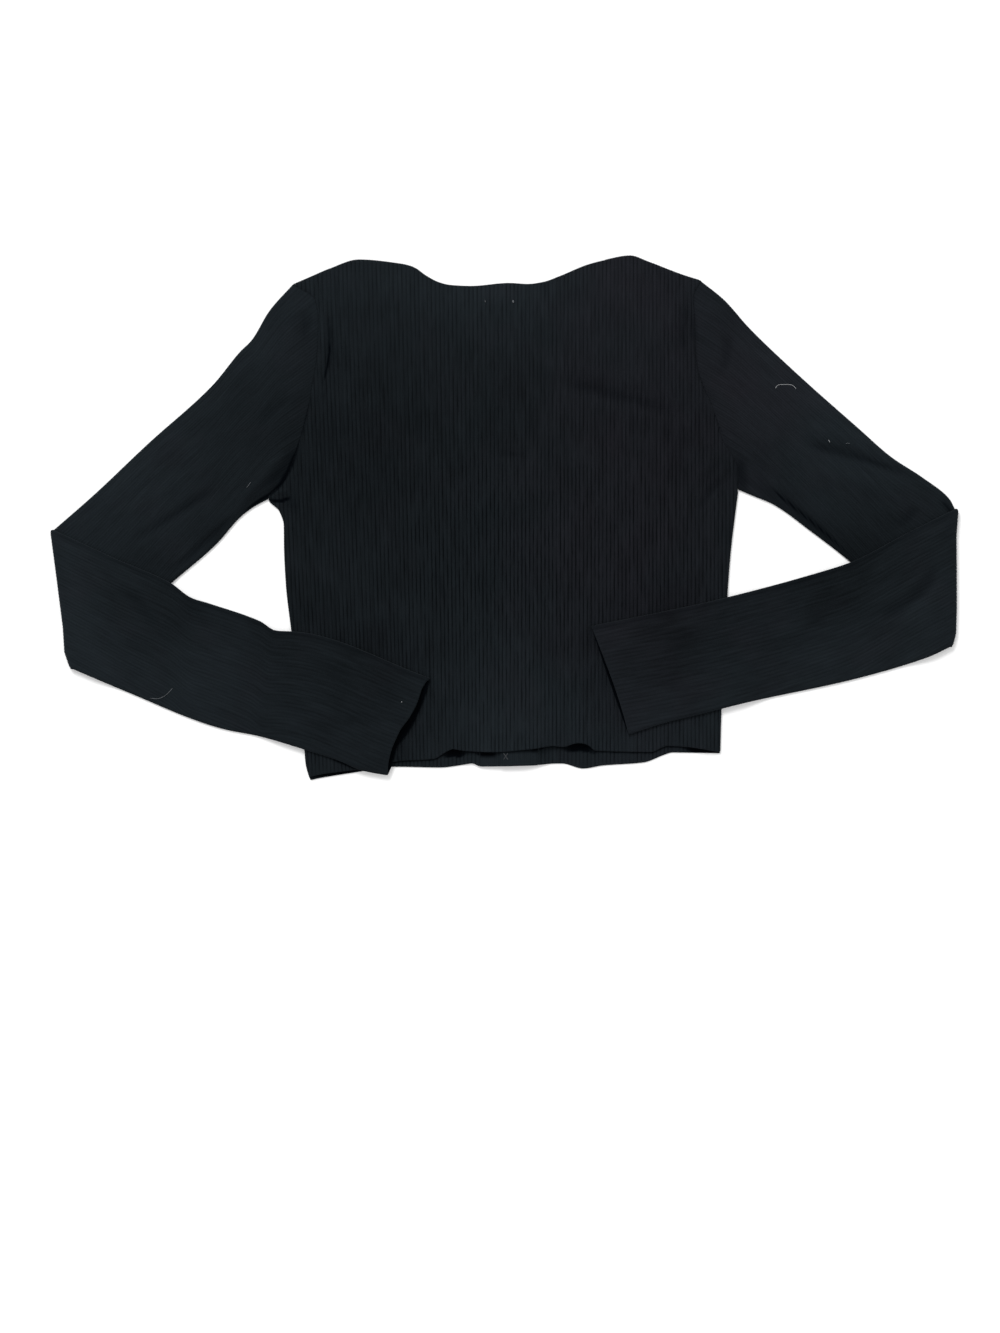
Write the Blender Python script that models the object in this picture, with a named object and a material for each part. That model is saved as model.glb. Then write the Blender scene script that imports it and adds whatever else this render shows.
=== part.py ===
"""Cropped rib-knit cardigan, laid face down with both sleeves folded back over its lower back.

Metres, +Z up. The floor is z = 0, the neck points to +Y, and the origin is on the floor under the
middle of the garment. Left and right are those of the picture, which from behind are the wearer's too.
Back and fronts are flat walls that lie on each other. Each sleeve is a flattened tube, folded once at
the elbow, and its forearm rests on the upper arm, on the floor and on the back.
"""

import math

import bmesh
import bpy
import numpy as np

# Cloth
WALL = 0.0011            # rib knit, pressed flat
RIB_RAISE = 0.0005       # how far a rib stands out of the wall
RIB_PITCH = 0.00308      # from rib to rib on the back
SEAM = 0.0003            # between pieces that are sewn together
AIR = 0.0004             # between layers that lie on each other

# Sleeve, a flattened tube of two walls
TUBE = 2 * WALL + AIR    # its whole thickness without ribs
TUBE_EDGE = TUBE / 2     # radius of its long edges
HOLLOW_INSET = 0.0018    # from the long edge to the hollow
SLEEVE_RIBS = 33         # ribs across one face
SLEEVE_CROWN = 0.0012    # how far the upper wall bulges where nothing lies on it
CROWN_END = 0.62         # share of the upper arm where the bulge has died out, before the forearm lies on it
FOLD_RADIUS = TUBE + RIB_RAISE - 0.00005  # from the elbow's fold line to the outer face
FOREARM_REST = 2 * FOLD_RADIUS - TUBE     # a forearm's underside where it lies on cloth
OVERHANG = 0.012         # how far a forearm runs on level past the cloth under it
DESCENT = 0.030          # and the length in which it then comes down to the floor

# Button stand
BAND_LEFT_X = (-0.0196, 0.0108)   # the outer band, with the buttonholes
BAND_RIGHT_X = (-0.0036, 0.0268)  # the inner band, which carries the buttons
BUTTON_X = 0.0026
BUTTON_RADIUS = 0.0055
BUTTON_THICK = 0.0022
BUTTON_BEVEL = 0.0005
BUTTON_SIDES = 16
BUTTON_HOLE_RADIUS = 0.0007
BUTTON_HOLE_SIDES = 6
BUTTON_HOLE_OFFSET = 0.0014
BUTTON_LOWEST_Y = -0.1908
BUTTON_SPACING = 0.0560
BUTTON_COUNT = 6
BAND_LIFT = BUTTON_THICK + 0.0003         # the outer band's underside over the buttons
STAND_LIFT = BAND_LIFT + WALL + AIR       # the inner band's underside
BACK_LIFT = STAND_LIFT + WALL + AIR       # the back's underside over both
BACK_REST = WALL + AIR                    # the back's underside elsewhere

# Front neckline, hidden under the back: half an ellipse
FRONT_NECK_X = 0.0036
FRONT_NECK_TOP_Y = 0.205
FRONT_NECK_HALF_WIDTH = 0.082
FRONT_NECK_DEPTH = 0.110

# Shoulders and neck edge, from left to right: x, y
TOP_EDGE = [
    (-0.1732, 0.1848), (-0.1564, 0.1920), (-0.1396, 0.1992), (-0.1164, 0.2064), (-0.0836, 0.2032),
    (-0.0716, 0.2000), (-0.0636, 0.1944), (-0.0532, 0.1888), (-0.0436, 0.1864), (-0.0268, 0.1856),
    (0.0036, 0.1880), (0.0188, 0.1872), (0.0308, 0.1888), (0.0444, 0.1936), (0.0660, 0.2024),
    (0.0796, 0.2060), (0.1004, 0.2096), (0.1148, 0.2048), (0.1420, 0.1944), (0.1572, 0.1896),
]

# Lower edge of the back, from left to right: x, y
BACK_HEM = [
    (-0.1600, -0.2086), (-0.1476, -0.2052), (-0.1156, -0.2008), (-0.0836, -0.1944), (-0.0572, -0.1928),
    (-0.0468, -0.1872), (-0.0420, -0.1848), (-0.0308, -0.1864), (-0.0084, -0.1872), (0.0220, -0.1848),
    (0.0396, -0.1824), (0.0460, -0.1832), (0.0588, -0.1800), (0.0652, -0.1808), (0.0732, -0.1862),
    (0.1172, -0.1872), (0.1300, -0.1824), (0.1460, -0.1832), (0.1730, -0.1874),
]

# Lower edge of the fronts, from left to right: x, y
FRONT_HEM = [
    (-0.1600, -0.2102), (-0.1552, -0.2096), (-0.1476, -0.2080), (-0.1148, -0.2028), (-0.0876, -0.1990),
    (-0.0516, -0.1996), (-0.0316, -0.1972), (-0.0260, -0.1964), (-0.0188, -0.1988), (0.0220, -0.1980),
    (0.0412, -0.1964), (0.0460, -0.1964), (0.0628, -0.2004), (0.0788, -0.1980), (0.1108, -0.1956),
    (0.1284, -0.1892), (0.1340, -0.1876), (0.1730, -0.1882),
]

# Waves that lift the back's hem off the fronts: x of the crest, half width, height
HEM_WAVES = [
    (-0.0400, 0.0120, 0.0018),
    (-0.0140, 0.0110, 0.0010),
    (0.0600, 0.0160, 0.0028),
    (0.1560, 0.0180, 0.0018),
]
HEM_WAVE_REACH = 0.020   # how far up the back a wave dies out

# Side seam and armhole of the body, from hem to shoulder: y, x
LEFT_EDGE = [
    (-0.2096, -0.1552), (-0.1960, -0.1588), (-0.1864, -0.1596), (-0.0904, -0.1702), (-0.0536, -0.1745),
    (-0.0232, -0.1760), (-0.0060, -0.1762), (0.0060, -0.1800), (0.0155, -0.1888), (0.0300, -0.1756),
    (0.0440, -0.1700), (0.0688, -0.1612), (0.0904, -0.1540), (0.1088, -0.1468), (0.1360, -0.1420),
    (0.1544, -0.1436), (0.1744, -0.1492), (0.1866, -0.1694),
]
RIGHT_EDGE = [
    (-0.1890, 0.1722), (-0.1536, 0.1732), (-0.0616, 0.1780), (-0.0272, 0.1806), (0.0048, 0.1844),
    (0.0230, 0.1866), (0.0360, 0.1874), (0.0500, 0.1820), (0.0620, 0.1745), (0.0768, 0.1700),
    (0.0920, 0.1650), (0.1056, 0.1584), (0.1220, 0.1540), (0.1420, 0.1525), (0.1600, 0.1520),
    (0.1760, 0.1510), (0.1892, 0.1572),
]

# Rows of points across back and fronts: y at the left side, y at the right side,
# share of the hem's curve and share of the neck edge's curve that the row follows
PANEL_ROWS = [
    (-0.1910, -0.1910, 1.00, 0.00),
    (-0.1700, -0.1700, 0.60, 0.00),
    (-0.0800, -0.0800, 0.00, 0.00),
    (-0.0060, 0.0020, 0.00, 0.00),
    (0.0155, 0.0230, 0.00, 0.00),
    (0.0300, 0.0370, 0.00, 0.00),
    (0.0640, 0.0640, 0.00, 0.00),
    (0.1000, 0.1000, 0.00, 0.00),
    (0.1340, 0.1340, 0.00, 0.00),
    (0.1740, 0.1740, 0.00, 0.35),
    (0.1950, 0.1950, 0.00, 1.00),
]
UNDERARM_ROW = 4         # the row where side seam and armhole meet
ROW_ENDS_X = (-0.175, 0.175)
HEM_LEVEL_Y = -0.1910
TOP_LEVEL_Y = 0.1950

# Sleeves, seen from above. Each line of points runs from the body outwards, or from elbow to cuff: x, y
SLEEVES = {
    "left": {
        "outer": [
            (-0.1732, 0.1848), (-0.1880, 0.1656), (-0.2020, 0.1424), (-0.2116, 0.1328),
            (-0.2332, 0.1064), (-0.2852, 0.0592), (-0.3284, 0.0184), (-0.3639, -0.0096),
        ],
        "inner": [
            (-0.1892, 0.0155), (-0.2012, 0.0088), (-0.2116, 0.0008), (-0.2308, -0.0208),
            (-0.2668, -0.0520), (-0.3480, -0.1206),
        ],
        "forearm_upper": [
            (-0.3639, -0.0096), (-0.3140, -0.0312), (-0.2668, -0.0520), (-0.2500, -0.0640),
            (-0.2372, -0.0680), (-0.1956, -0.0824), (-0.1820, -0.0902), (-0.1680, -0.0908),
            (-0.0596, -0.1280),
        ],
        "forearm_lower": [
            (-0.3480, -0.1206), (-0.3028, -0.1384), (-0.2268, -0.1680), (-0.1956, -0.1744),
            (-0.1600, -0.1848), (-0.1308, -0.1944), (-0.1148, -0.2014), (-0.0932, -0.2056),
        ],
    },
    "right": {
        "outer": [
            (0.1572, 0.1896), (0.1756, 0.1744), (0.1956, 0.1520), (0.2332, 0.1160),
            (0.2836, 0.0712), (0.3092, 0.0488), (0.3348, 0.0320), (0.3560, 0.0150), (0.3636, 0.0072),
        ],
        "inner": [
            (0.1868, 0.0230), (0.1996, 0.0176), (0.2148, 0.0112), (0.2452, -0.0104),
            (0.2772, -0.0352), (0.3590, -0.1030),
        ],
        "forearm_upper": [
            (0.3636, 0.0072), (0.3200, -0.0130), (0.2772, -0.0352), (0.2500, -0.0440),
            (0.1948, -0.0592), (0.1516, -0.0696), (0.0692, -0.0864),
        ],
        "forearm_lower": [
            (0.3590, -0.1030), (0.3380, -0.1112), (0.2788, -0.1288), (0.1940, -0.1472),
            (0.1524, -0.1576), (0.1292, -0.1632), (0.0988, -0.1728),
        ],
    },
}
UPPER_ARM_SHARES = (0.0, 0.10, 0.24, 0.42, 0.62, 0.82, 1.0)
ARMHOLE_CURVE_SHARES = (1.0, 0.62, 0.25, 0.06, 0.0, 0.0, 0.0)  # of the armhole's curve left in each section
FOLD_STEPS = 3           # facets round the elbow's fold
FOREARM_STEPS = 10

PLAIN_COLUMN = 0.018     # from column to column where a face has no ribs
HEM_COLUMN = 0.0062      # and on the back's underside near its wavy hem
HEM_ROWS = 2
BAND_COLUMN = 0.0052     # across a button band
BAND_STEPS = 6           # along a button band
RIB_END = 0.0008         # least distance from a rib's column to the end of its row

# Principled colour, roughness and metallic value of each material
MATERIALS = {
    "knit": ((0.0060, 0.0080, 0.0100, 1.0), 0.85, 0.0),
    "band": ((0.0060, 0.0075, 0.0095, 1.0), 0.80, 0.0),
    "buttons": ((0.0080, 0.0080, 0.0085, 1.0), 0.35, 0.0),
}


def smooth(share):
    """An S-curve from 0 to 1."""
    share = np.clip(share, 0.0, 1.0)
    return share * share * (3 - 2 * share)


def soft_curve(places, values, where):
    """Cubic curve through the points that never overshoots them: slopes are harmonic means, 0 at turns."""
    places = np.asarray(places, float)
    values = np.asarray(values, float)
    steps = np.diff(places)
    slopes = np.diff(values) / steps
    same_way = slopes[:-1] * slopes[1:] > 0
    safe = np.where(same_way, slopes[:-1] * slopes[1:], 1.0)
    total = np.where(same_way, slopes[:-1] + slopes[1:], 1.0)
    inner = np.where(same_way, 2 * safe / total, 0.0)
    tangents = np.concatenate([slopes[:1], inner, slopes[-1:]])
    where = np.clip(where, places[0], places[-1])
    index = np.clip(np.searchsorted(places, where) - 1, 0, len(steps) - 1)
    step = steps[index]
    t = (where - places[index]) / step
    start = (1 + 2 * t) * (1 - t) ** 2 * values[index] + t * (1 - t) ** 2 * step * tangents[index]
    end = t * t * (3 - 2 * t) * values[index + 1] + t * t * (t - 1) * step * tangents[index + 1]
    return start + end


def edge(table):
    """The function that a two-column table draws."""
    places, values = np.array(table).T
    return lambda where: soft_curve(places, values, where)


def along(table, shares):
    """Points at these shares of the length of a soft line through the table's points."""
    points = np.array(table)
    lengths = np.concatenate([[0.0], np.cumsum(np.linalg.norm(np.diff(points, axis=0), axis=1))])
    fine = np.linspace(0.0, lengths[-1], 400)
    line = np.column_stack([soft_curve(lengths, column, fine) for column in points.T])
    walked = np.concatenate([[0.0], np.cumsum(np.linalg.norm(np.diff(line, axis=0), axis=1))])
    places = np.asarray(shares) * walked[-1]
    return np.column_stack([np.interp(places, walked, column) for column in line.T])


top_edge = edge(TOP_EDGE)
back_hem = edge(BACK_HEM)
front_hem = edge(FRONT_HEM)
left_edge = edge(LEFT_EDGE)
right_edge = edge(RIGHT_EDGE)


# Heights of the layers

def left_front_under(x, y):
    """Underside of the left front and its band: on the floor, but lifted over the buttons."""
    return BAND_LIFT * smooth((x + 0.038) / 0.032)


def right_front_under(x, y):
    """Underside of the right front and its band, which lies on the left band."""
    return STAND_LIFT * smooth((0.040 - x) / 0.0285)


def hem_lift(x, y):
    """How far the waves of the hem lift the back."""
    fade = 1 - smooth((y - back_hem(x)) / HEM_WAVE_REACH)
    return fade * sum(height * smooth(1 - np.abs(x - crest) / width) for crest, width, height in HEM_WAVES)


def back_under(x, y):
    """Underside of the back: on the fronts, over the button stand, and sunk in the front neckline."""
    stand = smooth((x + 0.052) / 0.047) * smooth((0.070 - x) / 0.056) * (1 - smooth((y - 0.104) / 0.044))
    across = (x - FRONT_NECK_X) / FRONT_NECK_HALF_WIDTH
    down = (y - FRONT_NECK_TOP_Y) / FRONT_NECK_DEPTH
    sunk = smooth((0.82 - np.hypot(across, down)) / 0.35)
    return BACK_REST * (1 - sunk) + (BACK_LIFT - BACK_REST) * stand + hem_lift(x, y)


# Shapes

def strip(bm, first, second):
    """Triangles between two chains of (place, vertex), stepping along the one that lags behind."""
    i = j = 0
    while i < len(first) - 1 or j < len(second) - 1:
        second_done = j == len(second) - 1
        step_first = second_done or (i < len(first) - 1 and first[i + 1][0] <= second[j + 1][0])
        if step_first:
            bm.faces.new((first[i][1], first[i + 1][1], second[j][1]))
            i += 1
        else:
            bm.faces.new((first[i][1], second[j + 1][1], second[j][1]))
            j += 1


def finish(bm, name, material, collection):
    """Turns the faces outwards and makes the named object."""
    bmesh.ops.recalc_face_normals(bm, faces=bm.faces)
    mesh = bpy.data.meshes.new(name)
    bm.to_mesh(mesh)
    bm.free()
    mesh.materials.append(material)
    mesh.shade_smooth()
    mesh.set_sharp_from_angle(angle=math.radians(50))
    piece = bpy.data.objects.new(name, mesh)
    collection.objects.link(piece)
    return piece


def columns(low, high, spacing):
    """Evenly spaced places from low to high."""
    count = max(2, round((high - low) / spacing))
    return np.linspace(low, high, count + 1)


def rib_columns(low, high):
    """Places of the ribs' crests and valleys from low to high, with both ends, and the raise of each."""
    half = RIB_PITCH / 2
    numbers = np.arange(math.ceil((low + RIB_END) / half), math.floor((high - RIB_END) / half) + 1)
    raises = np.where(numbers % 2 == 0, RIB_RAISE, 0.0)
    return np.concatenate([[low], numbers * half, [high]]), np.concatenate([[0.0], raises, [0.0]])


def row_y(row, hem, x):
    """Height of one of the panel rows at x."""
    left_y, right_y, hem_share, top_share = row
    level = np.interp(x, ROW_ENDS_X, (left_y, right_y))
    return level + hem_share * (hem(x) - HEM_LEVEL_Y) + top_share * (top_edge(x) - TOP_LEVEL_Y)


def row_end(row, hem, side):
    """x where a panel row meets a side line, found by walking back and forth between the two."""
    x = side(row_y(row, hem, 0.0))
    for _ in range(30):
        x = 0.5 * x + 0.5 * side(row_y(row, hem, x))
    return float(x)


def close_wall(bm, upper, lower):
    """Fills the upper and the lower face between their rows, and the four edges between the faces."""
    for face in (upper, lower):
        for first, second in zip(face, face[1:]):
            strip(bm, first, second)
    for end in (0, -1):
        strip(bm, upper[end], lower[end])
        side = [[(0, above[end][1]), (1, below[end][1])] for above, below in zip(upper, lower)]
        for first, second in zip(side, side[1:]):
            strip(bm, first, second)


def point_row(bm, x, y, z):
    """A row of points as (place, vertex), placed by its x."""
    return [(place, bm.verts.new((place, across, height))) for place, across, height in zip(x, y, z)]


def panel(name, material, collection, hem, left, right, under, ribbed=False):
    """A flat wall of cloth: rows of points from its left to its right side, on both of its faces."""
    bm = bmesh.new()
    upper = []
    lower = []
    for number, row in enumerate(PANEL_ROWS):
        low = row_end(row, hem, left)
        high = row_end(row, hem, right)
        fine = HEM_COLUMN if ribbed and number < HEM_ROWS else PLAIN_COLUMN
        below = columns(low, high, fine)
        above, raises = rib_columns(low, high) if ribbed else (below, np.zeros(len(below)))
        below_y = row_y(row, hem, below)
        above_y = row_y(row, hem, above)
        lower.append(point_row(bm, below, below_y, under(below, below_y)))
        upper.append(point_row(bm, above, above_y, under(above, above_y) + WALL + raises))
    close_wall(bm, upper, lower)
    return finish(bm, name, material, collection)


def armhole(side, hem):
    """The body's points along an armhole, from shoulder to underarm."""
    rows = PANEL_ROWS[UNDERARM_ROW:]
    ends = [row_end(row, hem, side) for row in rows]
    points = np.array([(x, float(row_y(row, hem, x))) for row, x in zip(rows, ends)])
    return points[::-1]


def moved_out(points, distance, away):
    """The line of points, moved sideways, to the side that 'away' points to."""
    tangent = np.gradient(points, axis=0)
    tangent /= np.linalg.norm(tangent, axis=1)[:, None]
    normal = np.column_stack([tangent[:, 1], -tangent[:, 0]])
    normal *= np.sign(normal @ np.array(away))[:, None]
    return points + distance * normal


def sleeve_sections(table, seam, body_side, outwards):
    """The sleeve's sections from armhole to cuff: each places a point by its share across and its depth.

    Depth 0 is the face that lies on the floor at the upper arm, and TUBE the one on top of it. Behind
    the fold the tube lies upside down, so depth 0 is on top.
    """
    outer = along(table["outer"], UPPER_ARM_SHARES)
    inner = along(table["inner"], UPPER_ARM_SHARES)
    widest = max(math.sin(math.pi * step / FOLD_STEPS) for step in range(FOLD_STEPS))
    fold_reach = outwards * (FOLD_RADIUS + RIB_RAISE) * widest
    outer[-1, 0] -= fold_reach
    inner[-1, 0] -= fold_reach
    outer[0] = seam[0]
    inner[0] = seam[-1]
    shares = np.concatenate([[0.0], np.cumsum(np.linalg.norm(np.diff(seam, axis=0), axis=1))])
    shares /= shares[-1]
    bend = seam - ((1 - shares)[:, None] * outer[0] + shares[:, None] * inner[0])
    edge_start, edge_end = np.array(table["inner"][-2:])
    edge_way = (edge_end - edge_start) / np.linalg.norm(edge_end - edge_start)
    edge_away = np.array([edge_way[1], -edge_way[0]]) * outwards

    def across(start, end, share, curve=0.0):
        offset = [np.interp(share, shares, column) for column in bend.T]
        return start + share * (end - start) + curve * np.array(offset)

    def forearm_under(point):
        """Underside: level over the upper arm and over the body, and down to the floor between them."""
        past_arm = (point - edge_start) @ edge_away
        past_body = outwards * (point[0] - body_side(point[1]))
        bare = max(min(past_arm, past_body), 0.0)
        return FOREARM_REST * (1 - float(smooth((bare - OVERHANG) / DESCENT)))

    sections = []

    def upper_arm(start, end, curve, crown):
        def place(share, depth):
            x, y = across(start, end, share, curve)
            lifted = crown * math.sin(math.pi * share) * min(max((depth - WALL) / AIR, 0.0), 1.0)
            return (x, y, depth + lifted)
        return place

    def fold(start, end, angle):
        def place(share, depth):
            x, y = across(start, end, share)
            reach = FOLD_RADIUS - depth
            return (x + outwards * reach * math.sin(angle), y, FOLD_RADIUS - reach * math.cos(angle))
        return place

    def forearm(start, end, crown):
        def place(share, depth):
            point = across(start, end, share)
            lifted = crown * math.sin(math.pi * share) * min(max((TUBE - WALL - depth) / AIR, 0.0), 1.0)
            return (point[0], point[1], forearm_under(point) + TUBE - depth + lifted)
        return place

    for number, share in enumerate(UPPER_ARM_SHARES):
        crown = SLEEVE_CROWN * math.sin(math.pi * min(share / CROWN_END, 1.0))
        place = upper_arm(outer[number], inner[number], ARMHOLE_CURVE_SHARES[number], crown)
        last = number == len(UPPER_ARM_SHARES) - 1
        sections.append((outer[number], inner[number], place, 0.0 if last else 1.0, 0.0))
    for step in range(1, FOLD_STEPS):
        place = fold(outer[-1], inner[-1], math.pi * step / FOLD_STEPS)
        sections.append((outer[-1], inner[-1], place, 0.0, 1.0))
    forearm_shares = np.linspace(0.0, 1.0, FOREARM_STEPS + 1)
    upper_line = along([tuple(outer[-1])] + table["forearm_upper"][1:], forearm_shares)
    lower_line = along([tuple(inner[-1])] + table["forearm_lower"][1:], forearm_shares)
    for number, share in enumerate(forearm_shares):
        crown = SLEEVE_CROWN * math.sin(math.pi * share)
        place = forearm(upper_line[number], lower_line[number], crown)
        sections.append((upper_line[number], lower_line[number], place, 0.0, 1.0))
    return sections, shares


def sleeve_rings(bm, section, plain_shares):
    """The outer and the inner ring of a section, each as four chains of (place, vertex)."""
    start, end, place, upper_ribs, lower_ribs = section
    width = float(np.linalg.norm(end - start))
    rib_numbers = np.arange(2 * SLEEVE_RIBS + 1)

    def face(depth, outward, ribs, inset):
        low = inset / width
        if ribs:
            shares = low + (1 - 2 * low) * rib_numbers / rib_numbers[-1]
            raises = np.where(rib_numbers % 2 == 1, ribs * RIB_RAISE, 0.0)
        else:
            shares = np.clip(plain_shares, low, 1 - low)
            raises = np.zeros(len(shares))
        return [
            (share, bm.verts.new(place(share, depth + outward * up)))
            for share, up in zip(shares, raises)
        ]

    outer_low = face(0.0, -1, lower_ribs, TUBE_EDGE)
    outer_high = face(TUBE, 1, upper_ribs, TUBE_EDGE)
    inner_low = face(WALL, 0, 0.0, HOLLOW_INSET)
    inner_high = face(TUBE - WALL, 0, 0.0, HOLLOW_INSET)
    near = bm.verts.new(place(0.0, TUBE_EDGE))
    far = bm.verts.new(place(1.0, TUBE_EDGE))
    outer = [
        outer_low,
        outer_high,
        [(0.0, outer_low[0][1]), (0.5, near), (1.0, outer_high[0][1])],
        [(0.0, outer_low[-1][1]), (0.5, far), (1.0, outer_high[-1][1])],
    ]
    inner = [
        inner_low,
        inner_high,
        [(0.0, inner_low[0][1]), (1.0, inner_high[0][1])],
        [(0.0, inner_low[-1][1]), (1.0, inner_high[-1][1])],
    ]
    return outer, inner


def sleeve(name, material, collection, table, seam, body_side, outwards):
    """A flattened tube through its sections, open at armhole and cuff."""
    sections, shares = sleeve_sections(table, seam, body_side, outwards)
    bm = bmesh.new()
    rings = [sleeve_rings(bm, section, shares) for section in sections]
    for (outer, inner), (next_outer, next_inner) in zip(rings, rings[1:]):
        for first, second in zip(outer + inner, next_outer + next_inner):
            strip(bm, first, second)
    for outer, inner in (rings[0], rings[-1]):
        for first, second in zip(outer, inner):
            strip(bm, first, second)
    return finish(bm, name, material, collection)


def button(name, material, collection, cutters, y):
    """A flat round button with four sewing holes, face down on the floor."""
    bm = bmesh.new()
    bmesh.ops.create_cone(
        bm, cap_ends=True, segments=BUTTON_SIDES,
        radius1=BUTTON_RADIUS, radius2=BUTTON_RADIUS, depth=BUTTON_THICK,
    )
    rims = [edge for edge in bm.edges if abs(edge.verts[0].co.z - edge.verts[1].co.z) < BUTTON_THICK / 2]
    bmesh.ops.bevel(bm, geom=rims, offset=BUTTON_BEVEL, segments=1, affect="EDGES")
    disc = finish(bm, name, material, collection)
    disc.location = (BUTTON_X, y, BUTTON_THICK / 2)

    holes = bmesh.new()
    for quarter in range(4):
        angle = math.pi / 4 + quarter * math.pi / 2
        made = bmesh.ops.create_cone(
            holes, cap_ends=True, segments=BUTTON_HOLE_SIDES,
            radius1=BUTTON_HOLE_RADIUS, radius2=BUTTON_HOLE_RADIUS, depth=2 * BUTTON_THICK,
        )
        shift = (BUTTON_HOLE_OFFSET * math.cos(angle), BUTTON_HOLE_OFFSET * math.sin(angle), 0)
        bmesh.ops.translate(holes, verts=made["verts"], vec=shift)
    cutter = finish(holes, name + "_holes", material, cutters)
    cutter.location = disc.location
    cutter.hide_render = True
    cutter.display_type = "WIRE"
    cut = disc.modifiers.new("sewing_holes", "BOOLEAN")
    cut.object = cutter
    cut.operation = "DIFFERENCE"
    return disc


def make_material(name):
    colour, roughness, metallic = MATERIALS[name]
    material = bpy.data.materials.new(name)
    material.use_nodes = True
    shader = material.node_tree.nodes["Principled BSDF"]
    shader.inputs["Base Color"].default_value = colour
    shader.inputs["Roughness"].default_value = roughness
    shader.inputs["Metallic"].default_value = metallic
    material.diffuse_color = colour
    return material


def new_collection(name):
    collection = bpy.data.collections.new(name)
    bpy.context.scene.collection.children.link(collection)
    return collection


def front_neck_x(side):
    """x of the front neckline on one side, by y."""
    def at(y):
        down = np.clip((FRONT_NECK_TOP_Y - y) / FRONT_NECK_DEPTH, 0.0, 1.0)
        return FRONT_NECK_X + side * FRONT_NECK_HALF_WIDTH * np.sqrt(1 - down * down)
    return at


def front_neck_y(x):
    """y of the front neckline, by x."""
    across = (x - FRONT_NECK_X) / FRONT_NECK_HALF_WIDTH
    return FRONT_NECK_TOP_Y - FRONT_NECK_DEPTH * np.sqrt(1 - across * across)


def band(name, material, collection, span, under):
    """A button band from hem to front neckline, sewn to its front with a seam's gap."""
    bm = bmesh.new()
    x = columns(span[0], span[1], BAND_COLUMN)
    upper = []
    lower = []
    for share in np.linspace(0.0, 1.0, BAND_STEPS + 1):
        y = front_hem(x) + share * (front_neck_y(x) - front_hem(x))
        lower.append(point_row(bm, x, y, under(x, y)))
        upper.append(point_row(bm, x, y, under(x, y) + WALL))
    close_wall(bm, upper, lower)
    return finish(bm, name, material, collection)


def main():
    for leftover in list(bpy.data.objects):
        bpy.data.objects.remove(leftover)
    cardigan = new_collection("cropped_cardigan")
    cutters = new_collection("cutters")
    knit = make_material("knit")
    band_knit = make_material("band")
    plastic = make_material("buttons")

    panel("back", knit, cardigan, back_hem, left_edge, right_edge, back_under, ribbed=True)

    left_neck = front_neck_x(-1)
    right_neck = front_neck_x(1)
    left_seam_x = BAND_LEFT_X[0] - SEAM
    right_seam_x = BAND_RIGHT_X[1] + SEAM
    panel(
        "front_left", knit, cardigan, front_hem,
        left_edge, lambda y: np.minimum(left_neck(y), left_seam_x), left_front_under,
    )
    panel(
        "front_right", knit, cardigan, front_hem,
        lambda y: np.maximum(right_neck(y), right_seam_x), right_edge, right_front_under,
    )
    band("band_left", band_knit, cardigan, BAND_LEFT_X, left_front_under)
    band("band_right", band_knit, cardigan, BAND_RIGHT_X, right_front_under)

    for name, side, outwards in (("left", left_edge, -1), ("right", right_edge, 1)):
        seam = moved_out(armhole(side, back_hem), SEAM, (outwards, -0.3))
        sleeve("sleeve_" + name, knit, cardigan, SLEEVES[name], seam, side, outwards)

    for number in range(BUTTON_COUNT):
        y = BUTTON_LOWEST_Y + number * BUTTON_SPACING
        button("button_%d" % (number + 1), plastic, cardigan, cutters, y)


main()
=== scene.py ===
import functools
import math

import bpy
import numpy as np
from mathutils import Matrix


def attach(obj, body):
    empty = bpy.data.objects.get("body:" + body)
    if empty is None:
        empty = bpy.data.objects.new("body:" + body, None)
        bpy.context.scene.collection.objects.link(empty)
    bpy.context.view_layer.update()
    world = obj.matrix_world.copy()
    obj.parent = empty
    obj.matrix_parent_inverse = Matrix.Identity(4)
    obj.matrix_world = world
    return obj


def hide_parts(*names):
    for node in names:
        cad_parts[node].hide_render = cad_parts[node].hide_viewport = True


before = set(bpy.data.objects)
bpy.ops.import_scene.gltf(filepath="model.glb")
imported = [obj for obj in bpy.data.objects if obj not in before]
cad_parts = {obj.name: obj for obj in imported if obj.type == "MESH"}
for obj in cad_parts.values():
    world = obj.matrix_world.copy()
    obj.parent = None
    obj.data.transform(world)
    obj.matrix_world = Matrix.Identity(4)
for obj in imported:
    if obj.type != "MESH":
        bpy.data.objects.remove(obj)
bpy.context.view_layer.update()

# Cropped rib-knit cardigan, laid face down with both sleeves folded back over its lower back.
# Metres, +Z up: the table is z = 0 and the neck points to +Y. Left and right are those of the picture.


# ------------------------------------------------
# Table, lamps and camera
# The garment lies on a plain white table, under a wide soft lamp and a bright room, and the camera
# hangs straight above it with the picture's upright frame.

PICTURE_WIDTH = 0.8000                      # of the table, across the picture
PICTURE_HEIGHT = PICTURE_WIDTH * 1333 / 1000
PICTURE_CENTRE = (-0.0036, -0.1188)
CAMERA_HEIGHT = 3.4
TABLE_HALF = 6.0
TABLE_DROP = 0.0002                         # below the cloth's underside
TABLE_GLOW = 0.12                           # the table is lit a little from within, like a light table
ROOM_LIGHT = 0.75
LAMP_POWER = 205.0
LAMP_SIZE = 2.4
LAMP_PLACE = (-1.7, 3.6, 4.1)


def add_node(tree, kind, inputs=None, **settings):
    """A shader node with its settings. Each input takes a plain value or the socket to link it to."""
    node = tree.nodes.new("ShaderNode" + kind)
    for key, value in settings.items():
        setattr(node, key, value)
    for key, value in (inputs or {}).items():
        if isinstance(value, bpy.types.NodeSocket):
            tree.links.new(value, node.inputs[key])
        else:
            node.inputs[key].default_value = value
    return node


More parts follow.
